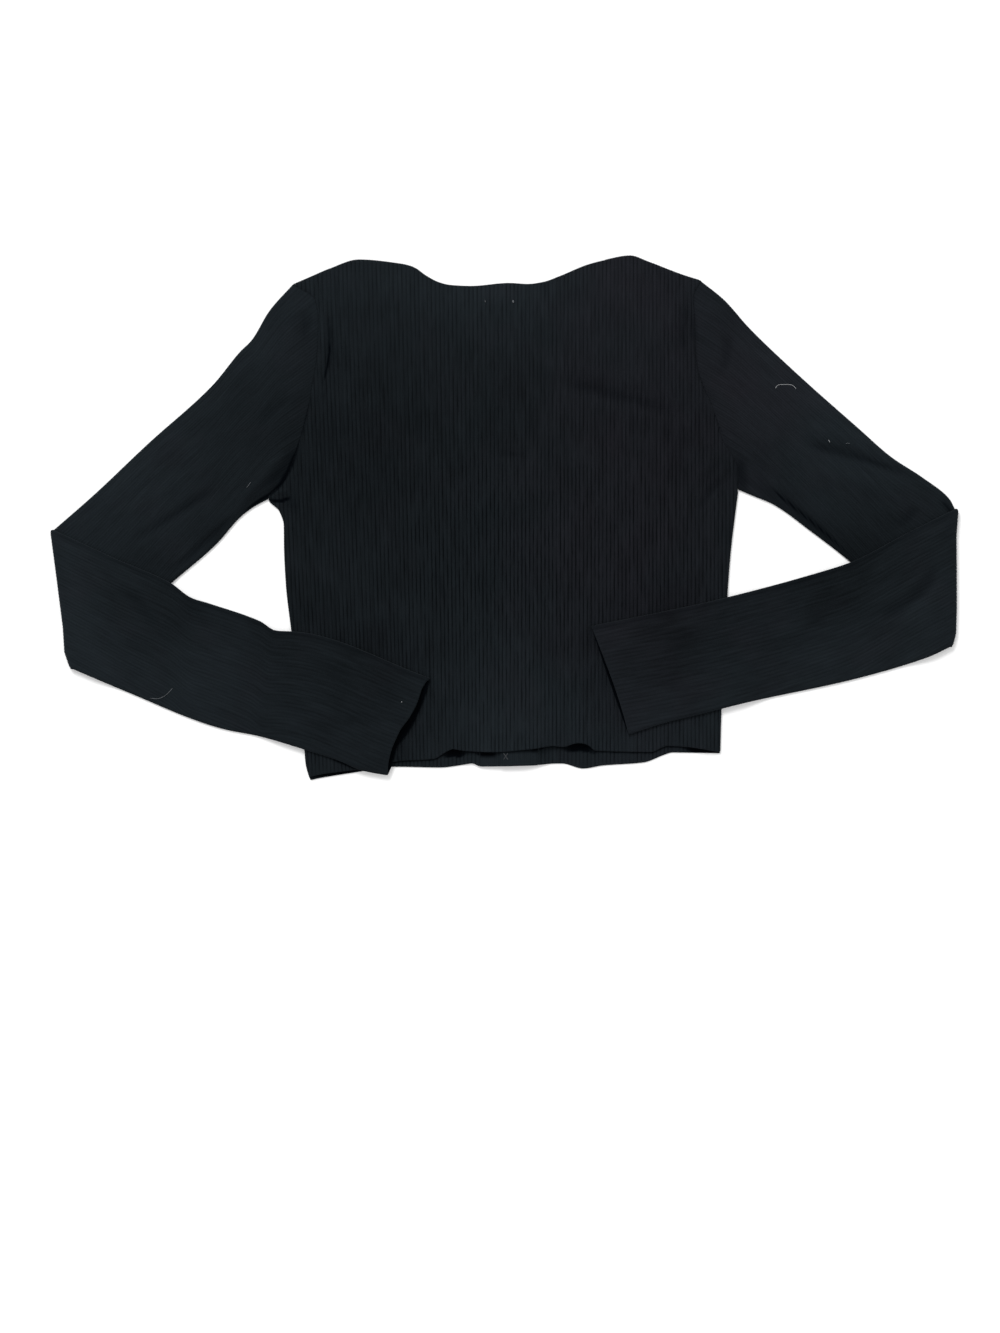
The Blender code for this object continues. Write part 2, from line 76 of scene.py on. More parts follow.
def plain_material(name, colour, values):
    """A Principled material with this colour and these values, its tree, shader and Object coordinates."""
    material = bpy.data.materials.new(name)
    material.use_nodes = True
    material.diffuse_color = (*colour, 1.0)
    tree = material.node_tree
    shader = tree.nodes["Principled BSDF"]
    for key, value in {"Base Color": (*colour, 1.0), **values}.items():
        shader.inputs[key].default_value = value
    return material, tree, shader, add_node(tree, "TexCoord").outputs["Object"]


def add_relief(tree, shader, height, strength, distance):
    """A fine relief in the shader's normal, from a height that changes over the surface."""
    bump = add_node(tree, "Bump", {"Height": height, "Strength": strength, "Distance": distance})
    tree.links.new(bump.outputs["Normal"], shader.inputs["Normal"])


def mesh_object(name, points, faces, material):
    """An object at the origin with these points and faces, shaded smooth."""
    mesh = bpy.data.meshes.new(name)
    mesh.from_pydata(np.asarray(points).tolist(), [], np.asarray(faces).tolist())
    mesh.update()
    mesh.shade_smooth()
    mesh.materials.append(material)
    piece = bpy.data.objects.new(name, mesh)
    bpy.context.scene.collection.objects.link(piece)
    return piece


table_paint, table_tree, table_shader, table_place = plain_material("table_white", (0.94, 0.94, 0.94), {
    "Roughness": 0.9, "Specular IOR Level": 0.2,
    "Emission Color": (1.0, 1.0, 1.0, 1.0), "Emission Strength": TABLE_GLOW})
table_grain = add_node(table_tree, "TexNoise", {"Vector": table_place, "Scale": 220.0, "Detail": 2.0})
add_relief(table_tree, table_shader, table_grain.outputs["Fac"], 0.03, 0.0005)
table_corners = np.array([(-1, -1), (1, -1), (1, 1), (-1, 1)]) * TABLE_HALF
table = mesh_object(
    "table", np.column_stack([table_corners, np.full(4, -TABLE_DROP)]), [(0, 1, 2, 3)], table_paint)

room = bpy.data.worlds.new("bright_room")
room.use_nodes = True
room_light = room.node_tree.nodes["Background"]
room_light.inputs["Color"].default_value = (1.0, 1.0, 1.0, 1.0)
room_light.inputs["Strength"].default_value = ROOM_LIGHT
bpy.context.scene.world = room

lamp_light = bpy.data.lights.new("soft_lamp", "AREA")
lamp_light.energy = LAMP_POWER
lamp_light.size = LAMP_SIZE
lamp = bpy.data.objects.new("soft_lamp", lamp_light)
lamp.location = LAMP_PLACE
lamp.rotation_euler = (-lamp.location).to_track_quat("-Z", "Y").to_euler()
bpy.context.scene.collection.objects.link(lamp)

camera_lens = bpy.data.cameras.new("camera")
camera_lens.sensor_width = 36.0
camera_lens.lens = camera_lens.sensor_width * CAMERA_HEIGHT / PICTURE_HEIGHT
camera = bpy.data.objects.new("camera", camera_lens)
camera.location = (*PICTURE_CENTRE, CAMERA_HEIGHT)
bpy.context.scene.collection.objects.link(camera)
bpy.context.scene.camera = camera
bpy.context.scene.view_settings.view_transform = "Standard"


# ------------------------------------------------
# Back
# One flat piece of near-black rib knit, cut off at the armholes and side seams, with narrow turned
# edges at hem and neck. It lies on both fronts, humps over the button stand and waves along its hem.

WALL = 0.0011               # rib knit, pressed flat
AIR = 0.0004                # between layers that lie on each other
RIB_RAISE = 0.0005          # how far a rib stands out of the wall
RIB_PITCH = 0.00308         # from rib to rib
BODY_LENGTH = 0.395         # from hem to neck
HALF_BODY = 0.22            # more than half its width anywhere
COURSE = 0.0013             # from knitted row to knitted row
RIB_STEPS = 4               # columns of the mesh to a rib
RIB_SHAPE = 2.6             # the higher, the flatter the rib's top and the narrower its groove
RIB_FAN = 0.30              # how far the left half's ribs spread towards the neck, each metre
RIB_FAN_FROM = -0.10        # y where the ribs' numbers are their places
ROW_STEP = 0.0036
CLOSE_ROWS = [(0.0, 0.075, 3.0), (0.575, 0.036, 2.6)]  # at hem and armpit: share, half width, times as close
EDGE_ROUND = 0.0007         # radius of a wall's rounded edge
EDGE_THIN = 0.16            # share of its thickness left at the very edge
TURNED_EDGE = 0.0024        # width of a turned edge
TURNED_RAISE = 0.0004       # and how much thicker it is
RIB_END = 0.0014            # how far from a seam the ribs fade out

BUTTON_THICK = 0.0022
BAND_LIFT = BUTTON_THICK + 0.0003         # the outer band's underside over the buttons
STAND_LIFT = BAND_LIFT + WALL + AIR       # the inner band's underside
BACK_LIFT = STAND_LIFT + WALL + AIR       # the back's underside over both
BACK_REST = WALL + AIR                    # the back's underside elsewhere
STAND_LEFT = (-0.052, -0.005)             # x where the hump over the button stand begins and is full
STAND_RIGHT = (0.070, 0.014)
STAND_UPPER = (0.148, 0.104)              # and y

FRONT_NECK_X = 0.0036                     # front neckline, half an ellipse
FRONT_NECK_TOP_Y = 0.205
FRONT_NECK_HALF_WIDTH = 0.082
FRONT_NECK_DEPTH = 0.110
NECK_SINK = (0.82, 0.47)                  # shares of it where the back begins to sink in and lies flat

# Shoulders and neck edge, from left to right: x, y
TOP_EDGE = [
    (-0.1732, 0.1848), (-0.1564, 0.1920), (-0.1396, 0.1992), (-0.1164, 0.2064), (-0.0836, 0.2032),
    (-0.0716, 0.2000), (-0.0636, 0.1944), (-0.0532, 0.1888), (-0.0436, 0.1864), (-0.0268, 0.1856),
    (0.0036, 0.1880), (0.0188, 0.1872), (0.0308, 0.1888), (0.0444, 0.1936), (0.0660, 0.2024),
    (0.0796, 0.2060), (0.1004, 0.2096), (0.1148, 0.2048), (0.1420, 0.1944), (0.1572, 0.1896),
]

NECK_SPAN = (-0.0720, 0.0800)   # x of the neck edge, between the shoulder seams

# Lower edge of the back, from left to right: x, y
BACK_HEM = [
    (-0.1600, -0.2086), (-0.1476, -0.2052), (-0.1156, -0.2008), (-0.0836, -0.1944), (-0.0572, -0.1928),
    (-0.0468, -0.1872), (-0.0420, -0.1848), (-0.0308, -0.1864), (-0.0084, -0.1872), (0.0220, -0.1848),
    (0.0396, -0.1824), (0.0460, -0.1832), (0.0588, -0.1800), (0.0652, -0.1808), (0.0732, -0.1862),
    (0.1172, -0.1872), (0.1300, -0.1824), (0.1460, -0.1832), (0.1730, -0.1874),
]

# Side seam and armhole of the body, from hem to shoulder: y, x
LEFT_EDGE = [
    (-0.2096, -0.1552), (-0.1960, -0.1588), (-0.1864, -0.1596), (-0.0904, -0.1702), (-0.0536, -0.1745),
    (-0.0232, -0.1760), (-0.0060, -0.1762), (0.0060, -0.1800), (0.0155, -0.1888), (0.0300, -0.1756),
    (0.0440, -0.1700), (0.0688, -0.1616), (0.0904, -0.1562), (0.1064, -0.1536), (0.1224, -0.1506),
    (0.1400, -0.1490), (0.1584, -0.1486), (0.1744, -0.1512), (0.1866, -0.1694),
]
RIGHT_EDGE = [
    (-0.1890, 0.1722), (-0.1536, 0.1732), (-0.0616, 0.1780), (-0.0272, 0.1806), (0.0048, 0.1844),
    (0.0230, 0.1866), (0.0360, 0.1874), (0.0500, 0.1820), (0.0620, 0.1745), (0.0768, 0.1700),
    (0.0920, 0.1650), (0.1056, 0.1584), (0.1220, 0.1540), (0.1420, 0.1525), (0.1600, 0.1520),
    (0.1760, 0.1510), (0.1892, 0.1572),
]

# Waves that lift the back's hem off the fronts: x of the crest, half width, height, reach of the painted
# shadow in the gap under it
HEM_WAVES = [
    (-0.1360, 0.0260, 0.0008, 0.0022),
    (-0.0400, 0.0120, 0.0028, 0.0062),
    (-0.0144, 0.0110, 0.0018, 0.0042),
    (0.0264, 0.0080, 0.0010, 0.0018),
    (0.0600, 0.0160, 0.0038, 0.0066),
    (0.1570, 0.0180, 0.0026, 0.0042),
]
HEM_WAVE_REACH = 0.020      # how far up the back a wave dies out

# Upper edges of both forearms where they cross the body, with the bare lower back between: x, y
SLEEVES_ON_BACK = [
    (-0.3639, -0.0096), (-0.2668, -0.0520), (-0.1956, -0.0824), (-0.1680, -0.0908), (-0.0596, -0.1280),
    (-0.0540, -0.2200), (0.0620, -0.2200), (0.0692, -0.0864), (0.1516, -0.0696), (0.1948, -0.0592),
    (0.2772, -0.0352), (0.3636, 0.0072),
]

# Soft folds: x and y of the start, the middle and the end, half width, height (a trough is negative)
BACK_FOLDS = [
    (0.0420, 0.1088, 0.0860, 0.0992, 0.1588, 0.0768, 0.0095, -0.0020),
    (0.0300, 0.1210, 0.0850, 0.1130, 0.1480, 0.0920, 0.0110, 0.0014),
    (0.0500, 0.0930, 0.0900, 0.0850, 0.1560, 0.0630, 0.0110, 0.0012),
    (-0.0084, 0.0528, 0.0080, 0.0500, 0.0240, 0.0468, 0.0045, -0.0014),
    (-0.0580, -0.0380, -0.0520, -0.0540, -0.0450, -0.0700, 0.0060, -0.0016),
    (-0.1420, 0.1620, -0.1396, 0.1340, -0.1480, 0.1020, 0.0042, -0.0018),
    (-0.1470, 0.1560, -0.1450, 0.1340, -0.1500, 0.1160, 0.0040, 0.0014),
    (-0.1300, 0.1500, -0.1280, 0.1300, -0.1330, 0.1100, 0.0080, 0.0010),
    (0.1480, 0.1740, 0.1430, 0.1560, 0.1440, 0.1300, 0.0065, -0.0020),
    (-0.1200, 0.1100, -0.1050, 0.0500, -0.1120, -0.0200, 0.0200, 0.0012),
    (-0.0500, 0.1500, -0.0450, 0.0900, -0.0600, 0.0200, 0.0220, 0.0010),
    (0.0900, 0.0500, 0.0820, 0.0100, 0.0860, -0.0400, 0.0200, 0.0010),
    (0.1760, 0.0320, 0.1640, 0.0200, 0.1520, 0.0020, 0.0060, -0.0018),
    (0.1700, 0.0500, 0.1600, 0.0380, 0.1480, 0.0220, 0.0070, 0.0012),
    (0.0000, -0.1500, 0.0100, -0.1100, 0.0050, -0.0700, 0.0160, 0.0010),
    (-0.1880, 0.0150, -0.1796, 0.0142, -0.1720, 0.0160, 0.0030, -0.0020),
    (-0.1860, 0.0190, -0.1800, 0.0205, -0.1730, 0.0215, 0.0034, 0.0022),
]

# Painted shade, dark lines deep in creases and along seams: start, middle and end, half width, shade
SEAM_SHADES = [
    (-0.1412, 0.1660, -0.1404, 0.1500, -0.1404, 0.1320, 0.0013, 0.50),
    (-0.1404, 0.1440, -0.1410, 0.1250, -0.1466, 0.1050, 0.0014, 1.40),
    (-0.1400, 0.1640, -0.1370, 0.1360, -0.1450, 0.1040, 0.0060, 0.20),
    (-0.1542, 0.0990, -0.1590, 0.0780, -0.1640, 0.0580, 0.0018, 0.50),
    (-0.1636, 0.0640, -0.1668, 0.0520, -0.1724, 0.0390, 0.0013, 1.00),
    (-0.1664, 0.0560, -0.1764, 0.0310, -0.1930, 0.0150, 0.0026, 2.00),
    (-0.1640, 0.0620, -0.1770, 0.0390, -0.1960, 0.0220, 0.0080, 0.50),
    (-0.1912, 0.0158, -0.1796, 0.0136, -0.1700, 0.0172, 0.0021, 2.00),
    (-0.1740, 0.0150, -0.1690, 0.0110, -0.1660, 0.0060, 0.0080, 0.26),
    (0.1516, 0.1300, 0.1652, 0.0880, 0.1830, 0.0520, 0.0014, 0.60),
    (0.1500, 0.1660, 0.1508, 0.1520, 0.1535, 0.1380, 0.0060, 0.30),
    (0.1880, 0.0480, 0.1890, 0.0350, 0.1920, 0.0200, 0.0080, 0.50),
]
# Painted shade near the hem, under the left forearm's lower edge and beside the left cuff's corner: start,
# middle and end, half width, shade
HEM_SHADES = [
    (-0.1410, -0.1912, -0.1270, -0.1968, -0.1110, -0.2036, 0.0022, 1.20),
    (-0.0822, -0.1770, -0.0822, -0.1880, -0.0824, -0.2000, 0.0010, 0.60),
    (-0.0862, -0.1890, -0.0850, -0.1925, -0.0845, -0.1950, 0.0016, 0.60),
]
BACK_SWELL = 0.0014         # how far the cloth stands off the layers below where nothing lies on it
SWELL_EDGE = 0.016          # the swell dies out this far from the edges
FOLD_EDGE = 0.004           # and the folds this far
LEAST_LIFT = 0.0001
CREASE_SHADE = 0.42         # painted shade in a trough of CREASE_DEPTH
CREASE_DEPTH = 0.0030

# Painted light and shade, patches lighter or darker, and where the yarn is redder: x and y of the middle,
# radius, lightness, purple
PAINTED_LIGHT_AND_TINT = [
    (-0.0100, 0.2000, 0.062, 0.50, 0.00),
    (-0.1180, 0.1960, 0.050, 0.14, 0.00),
    (0.1050, 0.1980, 0.050, 0.14, 0.70),
    (-0.2050, 0.1480, 0.060, 0.24, 0.00),
    (0.2050, 0.1180, 0.050, 0.24, 0.50),
    (0.1700, 0.1450, 0.038, -0.12, 0.00),
    (0.2800, 0.0700, 0.055, 0.30, 0.00),
    (-0.2950, 0.0420, 0.055, 0.28, 0.00),
    (-0.1150, 0.0600, 0.095, -0.26, 0.00),
    (0.0050, 0.1180, 0.045, -0.14, 0.00),
    (0.1600, 0.0600, 0.045, -0.16, 0.10),
    (0.1400, -0.0980, 0.045, -0.28, 0.00),
    (0.2600, -0.0480, 0.042, -0.36, 0.00),
    (0.3050, -0.0260, 0.036, -0.16, 0.00),
    (0.3450, -0.1000, 0.065, 0.26, 0.00),
    (0.2600, -0.1320, 0.040, 0.22, 0.00),
    (0.1850, -0.1480, 0.035, 0.20, 0.00),
    (-0.3500, -0.0400, 0.050, 0.22, 0.00),
    (-0.3400, -0.1200, 0.045, 0.40, 0.00),
    (-0.2836, -0.0640, 0.038, -0.24, 0.00),
    (-0.2500, -0.1450, 0.060, 0.28, 0.00),
    (-0.1800, -0.0860, 0.036, -0.20, 0.00),
    (-0.1050, -0.1250, 0.050, -0.22, 0.00),
    (0.0080, -0.1740, 0.060, 0.44, 0.00),
    (0.1200, -0.1760, 0.045, 0.22, 0.30),
    (0.1100, 0.0800, 0.090, 0.00, 0.80),
    (0.1000, -0.0500, 0.085, -0.04, 0.70),
]

# Where the painted shade in the grooves is stronger or fainter: x and y of the middle, radius, strength
GROOVE_SHADE_SPOTS = [
    (0.0040, -0.0380, 0.085, 0.60),
    (0.1150, -0.0100, 0.060, 0.30),
    (-0.1120, 0.1640, 0.060, -0.40),
    (-0.0040, 0.1600, 0.060, -0.18),
    (0.1050, 0.1640, 0.060, -0.25),
]


def smooth(share):
    """S-curve: 0 below 0, 1 above 1, and 3 s^2 - 2 s^3 between them."""
    share = np.clip(share, 0.0, 1.0)
    return share * share * (3 - 2 * share)


def ramp(value, off, on):
    """S-curve from 0 where the value is off, or beyond it, to 1 where it is on. Off may be above on."""
    return smooth((value - off) / (on - off))


def soft_curve(places, values, where):
    """Cubic curve through the points that never overshoots them: slopes are harmonic means, 0 at turns."""
    places = np.asarray(places, float)
    values = np.asarray(values, float)
    steps = np.diff(places)
    slopes = np.diff(values) / steps
    same_way = slopes[:-1] * slopes[1:] > 0
    safe = np.where(same_way, slopes[:-1] * slopes[1:], 1.0)
    total = np.where(same_way, slopes[:-1] + slopes[1:], 1.0)
    inner = np.where(same_way, 2 * safe / total, 0.0)
    tangents = np.concatenate([slopes[:1], inner, slopes[-1:]])
    where = np.clip(where, places[0], places[-1])
    index = np.clip(np.searchsorted(places, where) - 1, 0, len(steps) - 1)
    step = steps[index]
    t = (where - places[index]) / step
    start = (1 + 2 * t) * (1 - t) ** 2 * values[index] + t * (1 - t) ** 2 * step * tangents[index]
    end = t * t * (3 - 2 * t) * values[index + 1] + t * t * (t - 1) * step * tangents[index + 1]
    return start + end


def edge(outline):
    """The soft curve that a table of two columns draws, as a function of its first column."""
    places, values = np.array(outline).T
    return lambda where: soft_curve(places, values, where)


def folds(x, y, rows):
    """Sum of soft folds. Each is a cosine bell across a curved line, and fades out towards its ends.

    The line is the parabola through start, middle and end, taken at 25 points. A point's height is
    the bell of its distance to the line's nearest point, times a fade by where on the line that is.
    """
    raised = np.zeros(np.shape(x))
    t = np.linspace(0.0, 1.0, 25)
    fades = ramp(t, 0.0, 0.3) * ramp(t, 1.0, 0.7)
    for x0, y0, x1, y1, x2, y2, width, height in rows:
        line_x = x0 * (1 - t) * (1 - 2 * t) + x1 * 4 * t * (1 - t) + x2 * t * (2 * t - 1)
        line_y = y0 * (1 - t) * (1 - 2 * t) + y1 * 4 * t * (1 - t) + y2 * t * (2 * t - 1)
        best = np.zeros(np.shape(x))
        for px, py, fade in zip(line_x, line_y, fades):
            away = np.minimum(np.hypot(x - px, y - py) / width, 1.0)
            best = np.maximum(best, fade * (0.5 + 0.5 * np.cos(np.pi * away)))
        raised += height * best
    return raised


def rib(number):
    """Height of the ribs, 0 in a groove to 1 on a crest: 1 - |2 f - 1| ^ RIB_SHAPE.

    f is the fraction of the rib's number.
    """
    across = np.abs(2 * (number - np.floor(number)) - 1)
    return 1 - across ** RIB_SHAPE


def soft_floor(lift, least):
    """The lift where it is well above the least one, bent off smoothly so that it never goes below it."""
    over = lift - least
    return least + 0.5 * (over + np.sqrt(over * over + 4e-8))


EDGE_ROWS = np.array([0.0, 0.00025, 0.0007, 0.0013, 0.0022, 0.0034])  # the rows next to an edge


def fine_ends(length, step, dense=()):
    """Shares of a length, a step apart, with closer ones near both ends for the rounded edges.

    Each row of dense asks for closer ones elsewhere: share, half width, times as close.
    """
    close = EDGE_ROWS / length
    fine = np.linspace(close[-1], 1 - close[-1], 800)
    density = np.ones(800)
    for middle, half, times in dense:
        density = density + (times - 1) * smooth(1.5 - np.abs(fine - middle) / half)
    walked = np.cumsum(density) - density[0]
    count = max(2, round((1 - 2 * close[-1]) * length / step * density.mean()))
    even = np.interp(np.linspace(0.0, walked[-1], count), walked, fine)
    return np.concatenate([close[:-1], even, 1 - close[-2::-1]])


def unit(vectors):
    """The vectors, each made one long."""
    return vectors / np.linalg.norm(vectors, axis=-1, keepdims=True)


def walked_along(line):
    """The length walked along a line of points, from its start to each of them."""
    return np.concatenate([[0.0], np.cumsum(np.linalg.norm(np.diff(line, axis=0), axis=1))])


def points_at(line, walked):
    """The points of a line at these walked lengths."""
    lengths = walked_along(line)
    return np.column_stack([np.interp(walked, lengths, column) for column in line.T])


def grid_faces(index):
    """Two triangles for each cell of a grid of point numbers."""
    a, b, c, d = index[:-1, :-1], index[:-1, 1:], index[1:, 1:], index[1:, :-1]
    return [np.stack([a, b, c], -1).reshape(-1, 3), np.stack([a, c, d], -1).reshape(-1, 3)]


def ring_faces(count, sides):
    """Faces of a closed skin over a count of rings, whose two poles are numbered after all rings."""
    index = np.arange(count * sides).reshape(count, sides)
    index = np.column_stack([index, index[:, :1]])
    pole = np.full(sides, count * sides)
    return np.concatenate([
        *grid_faces(index), np.column_stack([pole, index[0, 1:], index[0, :-1]]),
        np.column_stack([pole + 1, index[-1, :-1], index[-1, 1:]])])


def facing_out(points, faces):
    """The faces of a closed skin, all turned round if the volume inside them comes out negative."""
    corners = points[faces]
    volume = np.einsum("ij,ij->", corners[:, 0], np.cross(corners[:, 1], corners[:, 2]))
    return faces[:, ::-1] if volume < 0 else faces


def closed_wall(outer, inner, around=False):
    """Triangles that close a wall between two grids of points with equal rows.

    The outer grid has a whole number of columns to each column step of the inner one. Points are
    numbered row by row, first outer, then inner. With around the columns run round a tube.
    """
    rows, outer_columns = outer.shape[:2]
    inner_columns = inner.shape[1]
    outer_index = np.arange(rows * outer_columns).reshape(rows, outer_columns)
    inner_index = np.arange(rows * inner_columns).reshape(rows, inner_columns) + outer_index.size
    if around:
        outer_index = np.column_stack([outer_index, outer_index[:, :1]])
        inner_index = np.column_stack([inner_index, inner_index[:, :1]])
    step = (outer_index.shape[1] - 1) // (inner_index.shape[1] - 1)

    def rim(outer_row, inner_row):
        places = np.arange(len(outer_row) - 1)
        nearest = inner_row[(places + step // 2) // step]
        bends = np.arange(len(inner_row) - 1)
        apex = outer_row[np.minimum(bends * step + step - step // 2, len(outer_row) - 1)]
        return [
            np.column_stack([outer_row[1:], outer_row[:-1], nearest]),
            np.column_stack([inner_row[:-1], inner_row[1:], apex]),
        ]

    parts = grid_faces(outer_index)
    parts += [part[:, ::-1] for part in grid_faces(inner_index)]
    parts += rim(outer_index[0], inner_index[0])
    parts += [part[:, ::-1] for part in rim(outer_index[-1], inner_index[-1])]
    if not around:
        for end, turn in ((0, 1), (-1, -1)):
            o, i = outer_index[:, end], inner_index[:, end]
            parts.append(np.column_stack([o[:-1], o[1:], i[1:]])[:, ::turn])
            parts.append(np.column_stack([o[:-1], i[1:], i[:-1]])[:, ::turn])
    return np.concatenate(parts)


def cloth(name, outer, inner, outer_uv, inner_uv, hollow, material, around=False):
    """A closed shell of cloth from its outer and inner grid of points, with painted shade on each.

    Points in the same place are welded and faces that shrink to nothing are dropped, so columns may
    run together where a side line cuts the ribs off. The UV map holds rib numbers and knitted rows.
    """
    faces = closed_wall(outer, inner, around)
    points = np.concatenate([outer.reshape(-1, 3), inner.reshape(-1, 3)])
    places = np.concatenate([outer_uv.reshape(-1, 2), inner_uv.reshape(-1, 2)])
    shade = np.concatenate([hollow[0].ravel(), hollow[1].ravel()])
    _, first, index = np.unique(
        np.round(points / 2e-6).astype(np.int64), axis=0, return_index=True, return_inverse=True)
    faces = index.reshape(-1)[faces]
    faces = faces[(faces != np.roll(faces, -1, axis=1)).all(axis=1)]
    points = points[first]
    return knitted(name, points, facing_out(points, faces), places[first], shade[first], material)


def knitted(name, points, faces, places, shade, material):
    """An object with the knit's UV map and masks: rib and row, painted shade in hollows, painted light and
    shade with the yarn's tint, and the strength of the painted groove shade.
    """
    piece = mesh_object(name, points, faces, material)
    uv = piece.data.uv_layers.new(name="knit")
    uv.uv.foreach_set("vector", places[faces.ravel()].astype(np.float32).ravel())
    light, purple, grooved = painted_light_tint_and_grooves(points[:, 0], points[:, 1])
    # hollow is painted shade, light is painted light and shade, grooved scales the painted groove shade
    for mask, values in (("hollow", shade), ("light", light), ("purple", purple), ("grooved", grooved)):
        layer = piece.data.attributes.new(mask, "FLOAT", "POINT")
        layer.data.foreach_set("value", values.astype(np.float32))
    return piece


def painted_light_tint_and_grooves(x, y):
    """Painted light and shade, purple tint and strength of the painted groove shade: sums of bells
    exp(-(distance / radius)^2).
    """
    light = np.zeros(len(x))
    purple = np.zeros(len(x))
    grooved = np.ones(len(x))
    for middle_x, middle_y, radius, strength in GROOVE_SHADE_SPOTS:
        grooved += strength * np.exp(-((x - middle_x) ** 2 + (y - middle_y) ** 2) / radius ** 2)
    for middle_x, middle_y, radius, lightness, redness in PAINTED_LIGHT_AND_TINT:
        bell = np.exp(-((x - middle_x) ** 2 + (y - middle_y) ** 2) / radius ** 2)
        light += lightness * bell
        purple += redness * bell
    return 0.5 + light, np.clip(purple, 0.0, 1.0), grooved


def crease_shade(raised):
    """Painted shade in a trough, by its depth."""
    return CREASE_SHADE * smooth(-raised / CREASE_DEPTH)


ALMOST_UP = (0.05, 0.03, 1.0)   # so that no thread that stands upright is parallel to it


def tube(line, wide, tall, sides=8):
    """Points, faces and UV of a closed tube along a line, with a pole at each end.

    At angle a a section's point lies wide cos(a) to the side of the line and tall sin(a) above it.
    UV is 0 on one side to 1 on the other, and the length walked.
    """
    way = unit(np.gradient(line, axis=0))
    level = unit(np.cross(way, ALMOST_UP))
    upward = np.cross(level, way)
    turn = np.arange(sides) / sides * 2 * np.pi
    walked = walked_along(line)
    thin = np.sqrt(np.clip(np.minimum(walked, walked[-1] - walked) / np.mean(tall), 0.04, 1.0))
    across = (wide * thin)[:, None, None] * np.cos(turn)[None, :, None] * level[:, None, :]
    above = (tall * thin)[:, None, None] * np.sin(turn)[None, :, None] * upward[:, None, :]
    rings = (line[:, None, :] + across + above).reshape(-1, 3)
    points = np.concatenate([rings, line[:1], line[-1:]])
    side = np.tile(np.abs(1 - turn / np.pi), len(line))
    places = np.column_stack([
        np.concatenate([side, [0.5, 0.5]]),
        np.concatenate([np.repeat(walked, sides), walked[[0, -1]]])])
    return points, facing_out(points, ring_faces(len(line), sides)), places


def joined(shells):
    """One list of points, faces and UV from several shells."""
    starts = np.cumsum([0] + [len(shell[0]) for shell in shells[:-1]])
    return (
        np.concatenate([shell[0] for shell in shells]),
        np.concatenate([shell[1] + start for shell, start in zip(shells, starts)]),
        np.concatenate([shell[2] for shell in shells]))


top_edge = edge(TOP_EDGE)
back_hem = edge(BACK_HEM)
left_edge = edge(LEFT_EDGE)
right_edge = edge(RIGHT_EDGE)
sleeves_on_back = edge(SLEEVES_ON_BACK)


def hem_lift(x, y):
    """How far the waves of the hem lift the back: a bell across each crest, fading out up the back."""
    fade = 1 - smooth((y - back_hem(x)) / HEM_WAVE_REACH)
    return fade * sum(height * smooth(1 - np.abs(x - crest) / half) for crest, half, height, _ in HEM_WAVES)


def back_under(x, y):
    """Underside of the back: on the fronts, over the button stand, and sunk in the front neckline."""
    stand = ramp(x, *STAND_LEFT) * ramp(x, *STAND_RIGHT) * ramp(y, *STAND_UPPER)
    across = (x - FRONT_NECK_X) / FRONT_NECK_HALF_WIDTH
    down = (y - FRONT_NECK_TOP_Y) / FRONT_NECK_DEPTH
    sunk = ramp(np.hypot(across, down), *NECK_SINK)
    return BACK_REST * (1 - sunk) + (BACK_LIFT - BACK_REST) * stand + hem_lift(x, y)


def panel_grid(hem, top, left, right, fan, steps):
    """Points, rib numbers, edge distances and knitted rows of a flat panel.

    A row runs at an equal share of the way from hem to top. A column follows a rib: x is the rib's
    place, spread towards the neck by the fan, and is cut off where the row meets the side lines.
    """
    shares = fine_ends(BODY_LENGTH, ROW_STEP, CLOSE_ROWS)[:, None]
    far = math.ceil(HALF_BODY / RIB_PITCH)
    numbers = np.arange(-far * steps, far * steps + 1)[None, :] / steps

    def row(x):
        return hem(x) + shares * (top(x) - hem(x))

    ends = []
    for side in (left, right):
        x = np.zeros_like(shares)
        for _ in range(60):
            x = 0.5 * x + 0.5 * side(row(x))
        ends.append(x)
    base = numbers * RIB_PITCH
    spread = base * (1 + fan * (base < 0) * (row(base) - RIB_FAN_FROM))
    x = np.clip(spread, ends[0], ends[1])
    y = row(x)
    number = x / (1 + fan * (x < 0) * (y - RIB_FAN_FROM)) / RIB_PITCH + 0.5
    height = top(x) - hem(x)
    side_gap = np.minimum(x - ends[0], ends[1] - x)
    return x, y, number, shares * height, (1 - shares) * height, side_gap


def rounded(gap, radius):
    """Quarter circle: 0 at an edge, 1 a radius or more from it, and sqrt(s (2 - s)) between."""
    share = np.clip(gap / radius, 0.0, 1.0)
    return np.sqrt(share * (2 - share))


def half_wall(gap):
    """Half a wall's thickness, by the distance to its edge, which is rounded by a quarter circle."""
    return WALL / 2 * (EDGE_THIN + (1 - EDGE_THIN) * rounded(gap, EDGE_ROUND))


def turned_edge(gap):
    """Shares of a turned edge's low roll and of the ribs that fade in on it, by the distance to the edge."""
    roll = ramp(gap, 0.0, 0.0006) * ramp(gap, TURNED_EDGE, TURNED_EDGE - 0.0009)
    return roll, smooth((gap - 0.55 * TURNED_EDGE) / 0.0012)


def wall_heights(number, hem_gap, top_gap, side_gap, neck):
    """Half thickness of a rounded wall, and the heights of its ribs and of its turned edges.

    The edges at the hem and, with neck, at the top are turned. Elsewhere the ribs run on up to the seam.
    """
    nearest = np.minimum(np.minimum(hem_gap, top_gap), side_gap)
    roll, started = turned_edge(np.minimum(hem_gap, np.where(neck, top_gap, 1.0)))
    ribs = rib(number) * smooth(np.minimum(side_gap, top_gap) / RIB_END) * started
    return half_wall(nearest), ribs * RIB_RAISE, roll * TURNED_RAISE


